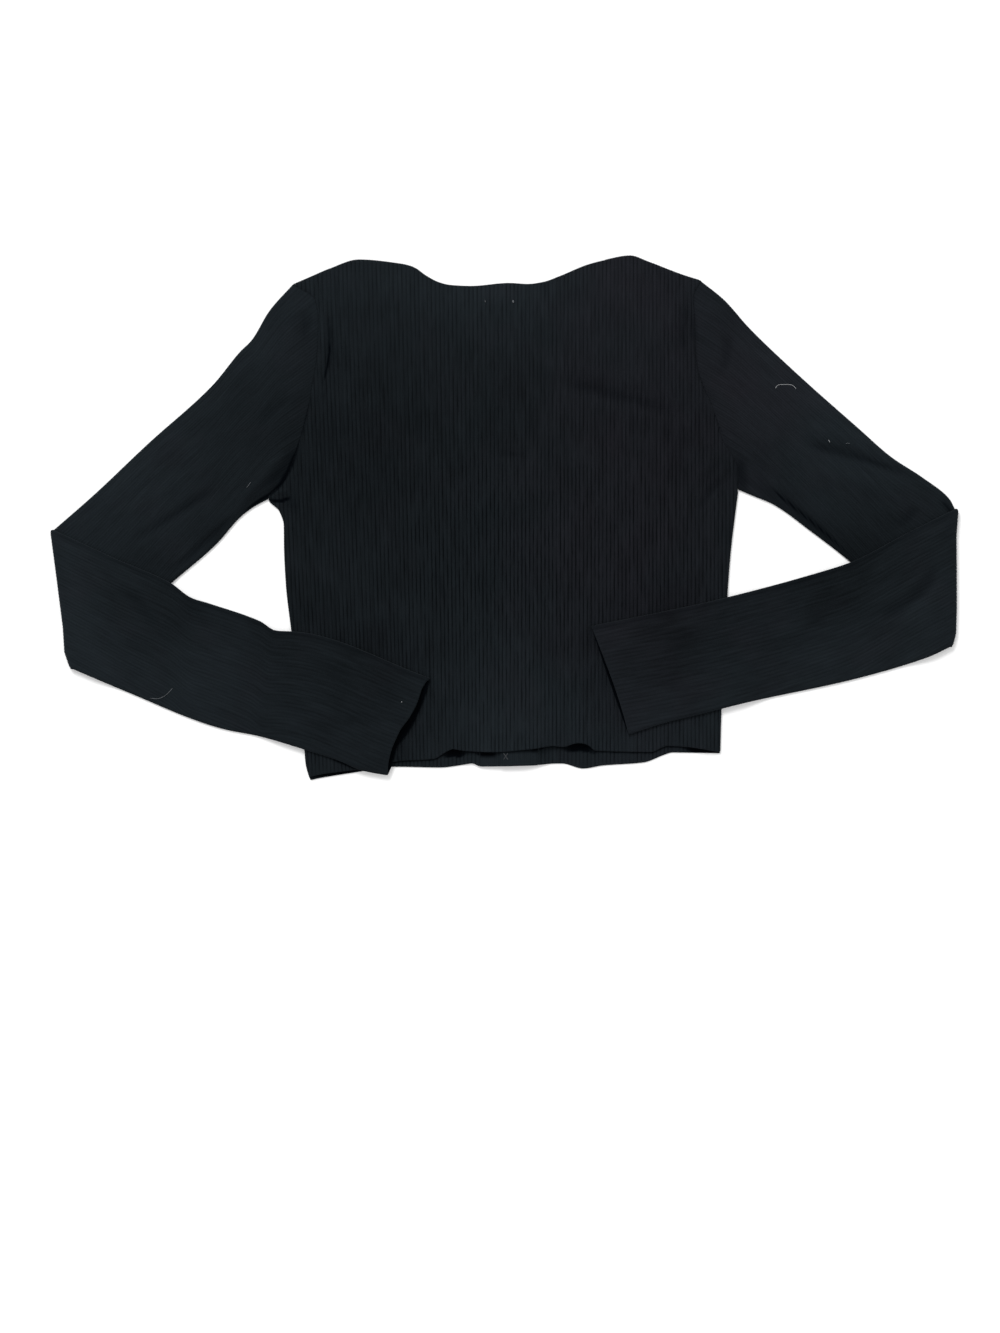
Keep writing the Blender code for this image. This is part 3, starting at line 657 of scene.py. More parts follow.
# The knit: a rib every pitch, each a column of V-shaped stitches between two grooves.
# The group reads the UV map, whose first number counts ribs and whose second counts knitted rows.
KNIT_TEAL = (0.0074, 0.0099, 0.0119)
KNIT_PURPLE = (0.0095, 0.0099, 0.0127)
# painted shade in the rib grooves
KNIT_GROOVE_SHADE = (0.0015, 0.0021, 0.0027)
# painted black shade in creases, along seams, under edges and inside the cuffs
KNIT_PAINTED_SHADE = (0.0001, 0.0006, 0.0014)
KNIT_ROUGHNESS = 0.88
KNIT_SPECULAR = 0.02
KNIT_SHEEN = 0.035
RIB_STRAY = 0.22            # how far a groove wanders sideways, in ribs
GROOVE_SIDE = (0.24, 0.50)  # a groove's side, from its top to its middle, in ribs from the rib's middle
GROOVE_SHADE_RANGE = (0.35, 1.15)  # strength of the painted groove shade where a noise is low and where it is high
STITCH_SLANT = 1.5          # how steep a stitch's two legs are, in rows for each rib
FUZZ = 0.9                  # height of the yarn's fuzz, in stitches


def maths(tree, operation, first, second=0.0, clamp=False):
    """Result of a Math node on two numbers or sockets."""
    node = add_node(tree, "Math", {0: first, 1: second}, operation=operation, use_clamp=clamp)
    return node.outputs["Value"]


def ranged(tree, value, low, high, to_low=0.0, to_high=1.0, curve="LINEAR"):
    """The value, carried from the range low to high over to the other range by a Map Range node."""
    ends = {"From Min": low, "From Max": high, "To Min": to_low, "To Max": to_high}
    node = add_node(tree, "MapRange", {"Value": value, **ends}, interpolation_type=curve)
    return node.outputs["Result"]


def knit_group():
    """Group with the masks of rib knit: groove, stitch height, tone of each rib, and tint blotches."""
    tree = bpy.data.node_groups.new("rib_knit", "ShaderNodeTree")
    for name in ("Rib and row", "Place"):
        tree.interface.new_socket(name, in_out="INPUT", socket_type="NodeSocketVector")
    for name in ("Groove", "Height", "Tone", "Tint"):
        tree.interface.new_socket(name, in_out="OUTPUT", socket_type="NodeSocketFloat")
    given = tree.nodes.new("NodeGroupInput")
    result = tree.nodes.new("NodeGroupOutput")

    add, less, times = (functools.partial(maths, tree, kind) for kind in ("ADD", "SUBTRACT", "MULTIPLY"))

    def noise(place, scale, detail):
        stretched = add_node(tree, "VectorMath", {0: place, 1: scale}, operation="MULTIPLY")
        made = add_node(
            tree, "TexNoise", {"Vector": stretched.outputs["Vector"], "Scale": 1.0, "Detail": detail})
        return made.outputs["Fac"]

    knitted_at, place = given.outputs["Rib and row"], given.outputs["Place"]
    split = add_node(tree, "SeparateXYZ", {"Vector": knitted_at})
    stray = times(less(noise(knitted_at, (0.9, 0.16, 1.0), 1.0), 0.5), RIB_STRAY)
    away = maths(tree, "ABSOLUTE", less(maths(tree, "FRACT", add(split.outputs["X"], stray)), 0.5))
    groove = times(
        ranged(tree, away, *GROOVE_SIDE, curve="SMOOTHSTEP"),
        ranged(tree, noise(knitted_at, (0.55, 0.06, 1.0), 2.0), 0.36, 0.60, *GROOVE_SHADE_RANGE))
    slant = less(split.outputs["Y"], times(away, STITCH_SLANT))
    wave = times(maths(tree, "SINE", times(slant, 2 * math.pi)), 0.5)
    fuzz = times(less(noise(place, (2400.0,) * 3, 2.0), 0.5), FUZZ)
    height = times(add(add(wave, 0.5), fuzz), less(1.0, groove))
    rib_tone = noise(knitted_at, (1.3, 0.045, 1.0), 3.0)
    spots = noise(place, (34.0,) * 3, 3.0)
    grain = noise(place, (900.0,) * 3, 2.0)
    tone = add(add(times(rib_tone, 0.50), times(spots, 0.25)), times(grain, 0.25))
    tint = noise(place, (26.0,) * 3, 3.0)
    for name, socket in (("Groove", groove), ("Height", height), ("Tone", tone), ("Tint", tint)):
        tree.links.new(socket, result.inputs[name])
    return tree


rib_knit = knit_group()


def mixed(tree, factor, first, second, blend="MIX"):
    """Colour output of a Mix node between two colours or sockets."""
    node = add_node(tree, "Mix", data_type="RGBA", blend_type=blend)
    for number, value in ((0, factor), (6, first), (7, second)):
        if isinstance(value, bpy.types.NodeSocket):
            tree.links.new(value, node.inputs[number])
        else:
            node.inputs[number].default_value = value if number == 0 else (*value, 1.0)
    return node.outputs[2]


def knit_finish(name, groove_shade_share, bump):
    """Material of near-black rib knit: light crests, painted shade in the grooves, uneven ribs, painted black
    shade deep in a hollow.

    The groove share says how much the painted shade darkens the grooves, and bump how high the stitches
    stand.
    The attributes hold the painted shade of folds, seams and edges, painted light and shade with the yarn's
    tint, and how strong the painted groove shade is there.
    """
    material, tree, shader, place = plain_material(name, KNIT_TEAL, {
        "Roughness": KNIT_ROUGHNESS, "Specular IOR Level": KNIT_SPECULAR, "Sheen Weight": KNIT_SHEEN,
        "Sheen Roughness": 0.5, "Sheen Tint": (0.75, 0.86, 1.0, 1.0)})
    uv = add_node(tree, "UVMap", uv_map="knit")
    knit = add_node(tree, "Group", node_tree=rib_knit)
    tree.links.new(uv.outputs["UV"], knit.inputs["Rib and row"])
    tree.links.new(place, knit.inputs["Place"])
    light, purple, hollow, grooved = (
        add_node(tree, "Attribute", attribute_name=mask).outputs["Fac"]
        for mask in ("light", "purple", "hollow", "grooved"))
    blotch = ranged(tree, knit.outputs["Tint"], 0.35, 0.65, -0.18, 0.18)
    yarn = mixed(tree, maths(tree, "ADD", purple, blotch, clamp=True), KNIT_TEAL, KNIT_PURPLE)
    strength = maths(tree, "MULTIPLY", grooved, groove_shade_share)
    # painted shade in the grooves, by the groove mask and its strength here
    depth = maths(tree, "MULTIPLY", knit.outputs["Groove"], strength, clamp=True)
    ribbed = mixed(tree, depth, yarn, KNIT_GROOVE_SHADE)
    # random tone of the ribs, plus the painted light and shade of the light mask
    tone = maths(tree, "ADD", ranged(tree, knit.outputs["Tone"], 0.33, 0.67, 0.20, 0.80), light)
    toned_and_lit = mixed(tree, 1.0, ribbed, tone, blend="MULTIPLY")
    # painted black shade where the hollow mask is set
    tree.links.new(mixed(tree, hollow, toned_and_lit, KNIT_PAINTED_SHADE), shader.inputs["Base Color"])
    add_relief(tree, shader, knit.outputs["Height"], bump, 0.0003)
    return material


knit_cloth = knit_finish("rib_knit_cloth", 0.72, 0.55)
sleeve_cloth = knit_finish("rib_knit_sleeve", 0.24, 0.38)


def back_lift(x, y, gap):
    """How far the back stands off the layers below it (a low swell and its folds, 0 under the forearms), and
    its painted shade.
    """
    free = ramp(y - sleeves_on_back(x), 0.004, 0.030)
    raised = folds(x, y, BACK_FOLDS) * smooth(gap / FOLD_EDGE)
    lift = free * soft_floor(BACK_SWELL * smooth(gap / SWELL_EDGE) + raised, LEAST_LIFT)
    shade = free * (crease_shade(raised) + folds(x, y, SEAM_SHADES)) + folds(x, y, HEM_SHADES)
    return lift, np.minimum(shade, 1.0)


x, y, number, hem_gap, top_gap, side_gap = panel_grid(
    back_hem, top_edge, left_edge, right_edge, RIB_FAN, RIB_STEPS)
on_neck = (x > NECK_SPAN[0]) & (x < NECK_SPAN[1])
half, ribs, roll = wall_heights(number, hem_gap, top_gap, side_gap, on_neck)
lift, shade = back_lift(x, y, np.minimum(np.minimum(hem_gap, top_gap), side_gap))
middle = back_under(x, y) + WALL / 2 + lift
outer = np.stack([x, y, middle + half + ribs + roll], -1)
inner = np.stack([x, y, middle - half], -1)[:, ::RIB_STEPS]
uv = np.stack([number, y / COURSE], -1)
knit_back = cloth(
    "knit_back", outer, inner, uv, uv[:, ::RIB_STEPS], (shade, shade[:, ::RIB_STEPS]), knit_cloth)
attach(knit_back, "root")
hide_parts("back")


# ------------------------------------------------
# Fronts
# Two flat pieces of the same rib knit under the back, outer side down on the table. Each runs from its
# side seam to the button stand, and the inside of its lower edge shows below the back's hem.

FRONT_RIB_STEPS = 4
FRONT_RELIEF = 0.0003       # depth of the grooves, cut into the wall so that it rests flat
GROOVE_FROM_HEM = 0.003           # where they are at their full depth
LEFT_SLOPE = (-0.038, -0.006)     # x where each front begins to rise on to the buttons, and lies on them
RIGHT_SLOPE = (0.040, 0.0115)
BAND_LEFT_X = (-0.0196, 0.0108)   # the outer band, with the buttonholes
BAND_RIGHT_X = (-0.0036, 0.0268)  # the inner band, which carries the buttons
SEAM = 0.0003                     # air between a front and its band
HEM_SHADOW_LINE = 0.75             # how dark the painted shadow line along the back's hem is

# Lower edge of the fronts, from left to right: x, y
FRONT_HEM = [
    (-0.1600, -0.2102), (-0.1552, -0.2096), (-0.1476, -0.2080), (-0.1148, -0.2028), (-0.0876, -0.1990),
    (-0.0516, -0.1996), (-0.0316, -0.1972), (-0.0260, -0.1964), (-0.0188, -0.1988), (0.0220, -0.1980),
    (0.0412, -0.1964), (0.0460, -0.1964), (0.0628, -0.2004), (0.0788, -0.1980), (0.1108, -0.1956),
    (0.1284, -0.1892), (0.1340, -0.1876), (0.1730, -0.1882),
]
front_hem = edge(FRONT_HEM)


def left_front_under(x, y):
    """Underside of the left front and its band: on the table, but lifted over the buttons."""
    return BAND_LIFT * ramp(x, *LEFT_SLOPE)


def right_front_under(x, y):
    """Underside of the right front and its band, which lies on the left band."""
    return STAND_LIFT * ramp(x, *RIGHT_SLOPE)


def front_neck_x(side):
    """x of the front neckline on one side, by y: half an ellipse."""
    def at(y):
        down = np.clip((FRONT_NECK_TOP_Y - y) / FRONT_NECK_DEPTH, 0.0, 1.0)
        return FRONT_NECK_X + side * FRONT_NECK_HALF_WIDTH * np.sqrt(1 - down * down)
    return at


left_neck = front_neck_x(-1)
right_neck = front_neck_x(1)


def hem_shadow_on_fronts(x, y):
    """Painted shadow on the fronts along the back's hem: a thin line, and 1 in each wave's gap under it."""
    below = y - back_hem(x)
    deep = HEM_SHADOW_LINE * ramp(below, -0.0016, -0.0006)
    for crest, half, _, gap in HEM_WAVES:
        away = np.abs(x - crest) / half
        gap_edge = ramp(below + gap * smooth(1.2 - away), -0.0006, 0.0004)
        deep = np.maximum(deep, gap_edge * smooth(1.3 - away))
    return deep


def laid_panel(name, x, y, half, under, uv, material):
    """A closed wall whose two faces are alike, a half thickness above and below its middle."""
    middle = under(x, y) + WALL / 2
    outer = np.stack([x, y, middle + half], -1)
    inner = np.stack([x, y, middle - half], -1)
    # the outer face carries the painted shadow of the back's hem
    piece = cloth(name, outer, inner, uv, uv, (hem_shadow_on_fronts(x, y), np.zeros_like(x)), material)
    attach(piece, "root")
    return piece


def front(name, node, left, right, under):
    """One front: both faces ribbed by grooves cut into the wall, its side and hem edges rounded."""
    x, y, number, hem_gap, top_gap, side_gap = panel_grid(
        front_hem, top_edge, left, right, 0.0, FRONT_RIB_STEPS)
    half, ribs, _ = wall_heights(number, hem_gap, top_gap, side_gap, False)
    grooves = 2 * FRONT_RELIEF / WALL * (1 - ribs / RIB_RAISE) * smooth(hem_gap / GROOVE_FROM_HEM)
    uv = np.stack([number, y / COURSE], -1)
    piece = laid_panel(name, x, y, half * (1 - grooves), under, uv, knit_cloth)
    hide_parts(node)
    return piece


knit_front_left = front(
    "knit_front_left", "front_left",
    left_edge, lambda y: np.minimum(left_neck(y), BAND_LEFT_X[0] - SEAM / 2), left_front_under)
knit_front_right = front(
    "knit_front_right", "front_right",
    lambda y: np.maximum(right_neck(y), BAND_RIGHT_X[1] + SEAM / 2), right_edge, right_front_under)


# ------------------------------------------------
# Button bands
# Two narrow strips of close, smooth knit, sewn along the fronts' edges. The outer one has buttonholes
# and the inner one carries the buttons, with the last button's sewing thread showing on its inside.

BAND_LENGTH = 0.298
BAND_ROW = 0.0030
BAND_STEP = 0.0012
BAND_STITCH = (0.0016, 0.0011)    # width and height of a stitch of the close knit


def front_neck_y(x):
    """y of the front neckline, by x."""
    across = (x - FRONT_NECK_X) / FRONT_NECK_HALF_WIDTH
    return FRONT_NECK_TOP_Y - FRONT_NECK_DEPTH * np.sqrt(1 - across * across)


band_cloth = knit_finish("close_knit_band", 0.30, 0.35)


def band(name, node, span, under):
    """A band: rows from hem to front neckline, columns from seam to edge, both long edges rounded."""
    shares = fine_ends(BAND_LENGTH, BAND_ROW)[:, None]
    x = (span[0] + (span[1] - span[0]) * fine_ends(span[1] - span[0], BAND_STEP))[None, :]
    x = np.broadcast_to(x, (len(shares), x.shape[1]))
    height = front_neck_y(x) - front_hem(x)
    y = front_hem(x) + shares * height
    side_gap = np.minimum(x - span[0], span[1] - x)
    nearest = np.minimum(np.minimum(shares, 1 - shares) * height, side_gap)
    uv = np.stack([x, y], -1) / BAND_STITCH
    piece = laid_panel(name, x, y, half_wall(nearest), under, uv, band_cloth)
    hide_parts(node)
    return piece


band_left_knit = band("band_left_knit", "band_left", BAND_LEFT_X, left_front_under)
band_right_knit = band("band_right_knit", "band_right", BAND_RIGHT_X, right_front_under)


# ------------------------------------------------
# Seams
# The pieces are linked edge to edge, and each seam is a fine chain of stitches: shoulders, side seams
# and button bands here, armholes and underarms with the sleeves.

SEAM_HALF = 0.0007          # half a chain's width
SEAM_TALL = 0.0011          # half its height where it closes two layers
STITCH = 0.0022             # length of a chain stitch
SEAM_WAIST = 0.18           # how much narrower a chain is between two stitches
SEAM_SHADE = 0.12           # painted shade, as it lies a little sunk
SIDE_SEAM_Y = [(-0.2080, 0.0150), (-0.1870, 0.0225)]        # both ends, left and right
SHOULDER_SEAM_X = [(-0.1690, -0.0722), (0.0800, 0.1568)]
SEAM_Z = 0.0013             # between the front and the back
SEAM_INSET = 0.0003         # in from the outline
ARMHOLE_SEAM_Z = 0.0014
ARMHOLE_SEAM_HALF = 0.0013
SEAM_POINT = 0.00055        # points along a seam


def seam(name, line, wide, tall):
    """A chain of stitches along a line: a tube that swells and narrows by |sin| with each stitch."""
    walked = np.arange(0.0, walked_along(line)[-1], SEAM_POINT)
    fullness = 1 - SEAM_WAIST * (1 - np.abs(np.sin(np.pi * walked / STITCH)))
    points, faces, places = tube(points_at(line, walked), wide * fullness, tall * fullness)
    places = places / (1.0, STITCH)
    # painted shade along the chain, darker where it crosses the seam shades
    shade = np.minimum(SEAM_SHADE + folds(points[:, 0], points[:, 1], SEAM_SHADES), 1.0)
    piece = knitted(name, points, faces, places, shade, knit_cloth)
    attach(piece, "root")
    return piece


def joining(name, x, y, z=SEAM_Z, tall=SEAM_TALL):
    """The seam between two pieces, along these x, y and z."""
    return seam(name, np.column_stack(np.broadcast_arrays(x, y, z)), SEAM_HALF, tall)


def band_seam(name, x, under):
    """The seam between a front and its button band, from the hem up to the front neckline."""
    y = np.linspace(front_hem(x) + 2 * SEAM_INSET, front_neck_y(x) - 2 * SEAM_INSET, 300)
    return joining(name, x, y, under(x, y) + WALL / 2, 0.8 * SEAM_HALF)


side_y = np.linspace(*SIDE_SEAM_Y[0], 300)
side_left = joining("seam_side_left", left_edge(side_y) + SEAM_INSET, side_y)
side_y = np.linspace(*SIDE_SEAM_Y[1], 300)
side_right = joining("seam_side_right", right_edge(side_y) - SEAM_INSET, side_y)
shoulder_x = np.linspace(*SHOULDER_SEAM_X[0], 200)
shoulder_left = joining("seam_shoulder_left", shoulder_x, top_edge(shoulder_x) - SEAM_INSET)
shoulder_x = np.linspace(*SHOULDER_SEAM_X[1], 200)
shoulder_right = joining("seam_shoulder_right", shoulder_x, top_edge(shoulder_x) - SEAM_INSET)
band_seam_left = band_seam("seam_band_left", BAND_LEFT_X[0] - SEAM / 4, left_front_under)
band_seam_right = band_seam("seam_band_right", BAND_RIGHT_X[1] + SEAM / 4, right_front_under)


# ------------------------------------------------
# Sleeves
# Two long set-in sleeves of the same rib knit, each a flattened tube sewn up along its underarm edge.
# Each is folded once at the elbow, and its forearm lies back over the upper arm and the lower back.

ARM_LENGTH = 0.285                        # of a sleeve, from armhole to elbow
FOLD_LENGTH = 0.011                       # round the elbow's fold
FOREARM_LENGTH = 0.310                    # and from elbow to cuff
TUBE = 2 * WALL + AIR                     # a flattened sleeve's whole thickness without ribs
TUBE_ROUND = 0.0040                       # its long edges are rounded over this width
HOLLOW_INSET = 0.0018                     # from the long edge to the hollow
HOLLOW_ROUND = 0.004                      # the hollow's own edges are rounded over this width
END_THIN = 0.42 * WALL                    # taken off each side of a wall, rounded at armhole and cuff
FOLD_RADIUS = TUBE + RIB_RAISE - 0.00005  # from the elbow's fold line to the outer face
FOREARM_REST = 2 * FOLD_RADIUS - TUBE     # a forearm's underside where it lies on cloth
OVERHANG = 0.012                          # how far a forearm runs on level past the cloth under it
DESCENT = 0.030                           # and the length in which it then comes down to the table
SLEEVE_RIB_STEPS = 4
SLEEVE_RELIEF = 0.36                      # of the back's ribs
SLEEVE_SWELL = 0.0022                     # how far the upper wall bulges where nothing lies on it
FOREARM_SWELL = 0.0018
SWELL_INLAND = 0.020                      # both are full this far from the long edges
RIM_SHADE = 0.32                          # painted shade on a forearm's upper edge
RIM_WIDTH = 0.0070
CUFF_OPEN = 0.0030                        # how far the cuff's upper wall stands open
FOLD_ROWS = 9
WIDEST = 0.182                            # the widest section, at the armhole

# Seen from above. Each line of points runs from the body outwards, or from elbow to cuff: x, y.
# Rib pitch at the upper arm and at the forearm. Cuff: share across, setback of the upper wall.
# Folds as for the back, and arm shades are painted shade lines like the seam shades. Elbow: share across, how
# far the fold bows outwards.
SLEEVES = {
    "left": {
        "outer": [
            (-0.1732, 0.1848), (-0.1880, 0.1656), (-0.2020, 0.1424), (-0.2116, 0.1328),
            (-0.2332, 0.1064), (-0.2852, 0.0592), (-0.3284, 0.0184), (-0.3639, -0.0096),
        ],
        "inner": [
            (-0.1892, 0.0155), (-0.2012, 0.0088), (-0.2116, 0.0008), (-0.2308, -0.0208),
            (-0.2668, -0.0520), (-0.3480, -0.1206),
        ],
        "forearm_upper": [
            (-0.3639, -0.0096), (-0.3140, -0.0312), (-0.2668, -0.0520), (-0.2500, -0.0640),
            (-0.2372, -0.0680), (-0.1956, -0.0824), (-0.1820, -0.0902), (-0.1680, -0.0908),
            (-0.0596, -0.1280),
        ],
        "forearm_lower": [
            (-0.3480, -0.1206), (-0.3028, -0.1384), (-0.2268, -0.1680), (-0.1956, -0.1744),
            (-0.1600, -0.1848), (-0.1308, -0.1944), (-0.1148, -0.2014), (-0.0932, -0.2056),
        ],
        "pitch": (0.00268, 0.00288),
        "cuff": [
            (0.0, 0.0), (0.06, 0.0016), (0.13, 0.0022), (0.27, 0.0012), (0.41, 0.0022),
            (0.58, 0.0052), (0.72, 0.0054), (0.87, 0.0038), (0.97, 0.0010), (1.0, 0.0),
        ],
        "cuff_under": [
            (0.0, 0.0), (0.12, -0.0016), (0.28, -0.0024), (0.44, -0.0024), (0.56, -0.0010),
            (0.66, 0.0010), (0.72, 0.0022), (0.84, 0.0010), (0.95, 0.0), (1.0, 0.0),
        ],
        "elbow": [(0.0, 0.0), (0.35, 0.0004), (0.70, 0.0010), (0.88, 0.0026), (1.0, 0.0)],
        "arm_folds": [
            (-0.3100, -0.0270, -0.2560, 0.0080, -0.2276, 0.0264, 0.0080, -0.0019),
            (-0.3180, -0.0080, -0.2660, 0.0250, -0.2330, 0.0420, 0.0120, 0.0014),
            (-0.2400, 0.0780, -0.2200, 0.0980, -0.2000, 0.1150, 0.0160, 0.0010),
            (-0.2000, 0.0700, -0.1850, 0.0850, -0.1720, 0.0950, 0.0080, -0.0014),
            (-0.1600, 0.1640, -0.1580, 0.1540, -0.1610, 0.1380, 0.0060, -0.0016),
            (-0.1720, 0.1620, -0.1700, 0.1480, -0.1740, 0.1300, 0.0080, 0.0012),
            (-0.2160, 0.0120, -0.1950, 0.0300, -0.1780, 0.0520, 0.0085, 0.0028),
            (-0.2700, -0.0470, -0.2400, -0.0200, -0.2130, 0.0050, 0.0050, -0.0020),
        ],
        "arm_shades": [
            (-0.1870, 0.0190, -0.1970, 0.0130, -0.2100, 0.0030, 0.0024, 1.50),
            (-0.2040, 0.0080, -0.2260, -0.0150, -0.2500, -0.0380, 0.0014, 0.50),
            (-0.2900, -0.0140, -0.2560, 0.0080, -0.2330, 0.0230, 0.0022, 0.16),
        ],
        "forearm_folds": [
            (-0.2560, -0.0620, -0.2440, -0.0780, -0.2300, -0.0900, 0.0110, -0.0013),
            (-0.3040, -0.0580, -0.2880, -0.0740, -0.2760, -0.0900, 0.0120, -0.0013),
            (-0.3400, -0.0400, -0.3300, -0.0700, -0.3250, -0.1000, 0.0160, 0.0010),
            (-0.1800, -0.1150, -0.1500, -0.1280, -0.1200, -0.1420, 0.0130, 0.0007),
            (-0.2100, -0.1350, -0.1800, -0.1480, -0.1500, -0.1600, 0.0100, -0.0009),
        ],
    },
    "right": {
        "outer": [
            (0.1572, 0.1896), (0.1756, 0.1744), (0.1956, 0.1520), (0.2332, 0.1160),
            (0.2836, 0.0712), (0.3092, 0.0488), (0.3348, 0.0320), (0.3560, 0.0150), (0.3636, 0.0072),
        ],
        "inner": [
            (0.1868, 0.0230), (0.1996, 0.0176), (0.2148, 0.0112), (0.2452, -0.0104),
            (0.2772, -0.0352), (0.3590, -0.1030),
        ],
        "forearm_upper": [
            (0.3636, 0.0072), (0.3200, -0.0130), (0.2772, -0.0352), (0.2500, -0.0440),
            (0.1948, -0.0592), (0.1516, -0.0696), (0.0692, -0.0864),
        ],
        "forearm_lower": [
            (0.3590, -0.1030), (0.3380, -0.1112), (0.2788, -0.1288), (0.1940, -0.1472),
            (0.1524, -0.1576), (0.1292, -0.1632), (0.0988, -0.1728),
        ],
        "pitch": (0.00272, 0.00305),
        "cuff": [(0.0, 0.0), (0.30, 0.0012), (0.55, 0.0018), (0.80, 0.0014), (1.0, 0.0002)],
        "cuff_under": [(0.0, 0.0), (0.50, -0.0004), (1.0, 0.0)],
        "elbow": [(0.0, 0.0), (0.20, -0.0008), (0.45, 0.0006), (0.70, 0.0018), (0.90, 0.0022), (1.0, 0.0)],
        "arm_folds": [
            (0.2300, 0.0610, 0.2820, 0.0488, 0.3380, 0.0290, 0.0080, -0.0025),
            (0.2300, 0.0740, 0.2700, 0.0640, 0.3050, 0.0500, 0.0100, 0.0016),
            (0.2400, 0.0420, 0.2800, 0.0300, 0.3150, 0.0160, 0.0110, 0.0012),
            (0.3480, 0.0150, 0.3545, 0.0080, 0.3590, 0.0010, 0.0060, -0.0016),
            (0.3150, -0.0080, 0.3225, 0.0000, 0.3300, 0.0060, 0.0060, -0.0020),
            (0.1760, 0.1500, 0.1780, 0.1300, 0.1700, 0.1120, 0.0080, -0.0016),
            (0.2080, 0.0270, 0.2412, 0.0010, 0.2800, -0.0340, 0.0042, -0.0030),
            (0.2080, 0.0370, 0.2440, 0.0110, 0.2760, -0.0180, 0.0080, 0.0014),
        ],
        "arm_shades": [
            (0.2080, 0.0270, 0.2412, 0.0004, 0.2820, -0.0350, 0.0015, 1.35),
            (0.1880, 0.0350, 0.2350, 0.0020, 0.2800, -0.0360, 0.0070, 0.27),
            (0.2700, 0.0520, 0.2900, 0.0465, 0.3150, 0.0380, 0.0020, 0.20),
            (0.3480, 0.0150, 0.3545, 0.0080, 0.3590, 0.0010, 0.0024, 0.40),
        ],
        "forearm_folds": [
            (0.3480, -0.0300, 0.3260, -0.0640, 0.2860, -0.0790, 0.0100, -0.0021),
            (0.3500, -0.0520, 0.3360, -0.0800, 0.3080, -0.0900, 0.0110, 0.0010),
            (0.2900, -0.0560, 0.2600, -0.0640, 0.2300, -0.0700, 0.0120, 0.0008),
            (0.2500, -0.0950, 0.2200, -0.1040, 0.1900, -0.1080, 0.0110, -0.0009),
            (0.1600, -0.1150, 0.1350, -0.1200, 0.1100, -0.1260, 0.0140, 0.0007),
        ],
    },
}
ARMHOLE_CURVE = [(0.0, 1.0), (0.10, 0.62), (0.24, 0.25), (0.42, 0.06), (0.62, 0.0), (1.0, 0.0)]


def along(line, shares):
    """Points at these shares of the length of a soft line through the given points."""
    points = np.array(line)
    lengths = walked_along(points)
    fine = np.linspace(0.0, lengths[-1], 600)
    drawn = np.column_stack([soft_curve(lengths, column, fine) for column in points.T])
    return points_at(drawn, shares * walked_along(drawn)[-1])


def armhole_line(side, outwards, lowest, highest):
    """Points along the armhole from shoulder to underarm, half a seam outside the body's edge."""
    y = np.linspace(highest, lowest, 200)
    line = np.column_stack([side(y), y])
    way = unit(np.gradient(line, axis=0))
    normal = np.column_stack([way[:, 1], -way[:, 0]])
    normal *= np.sign(normal @ np.array((outwards, -0.3)))[:, None]
    return line + SEAM * 0.6 * normal


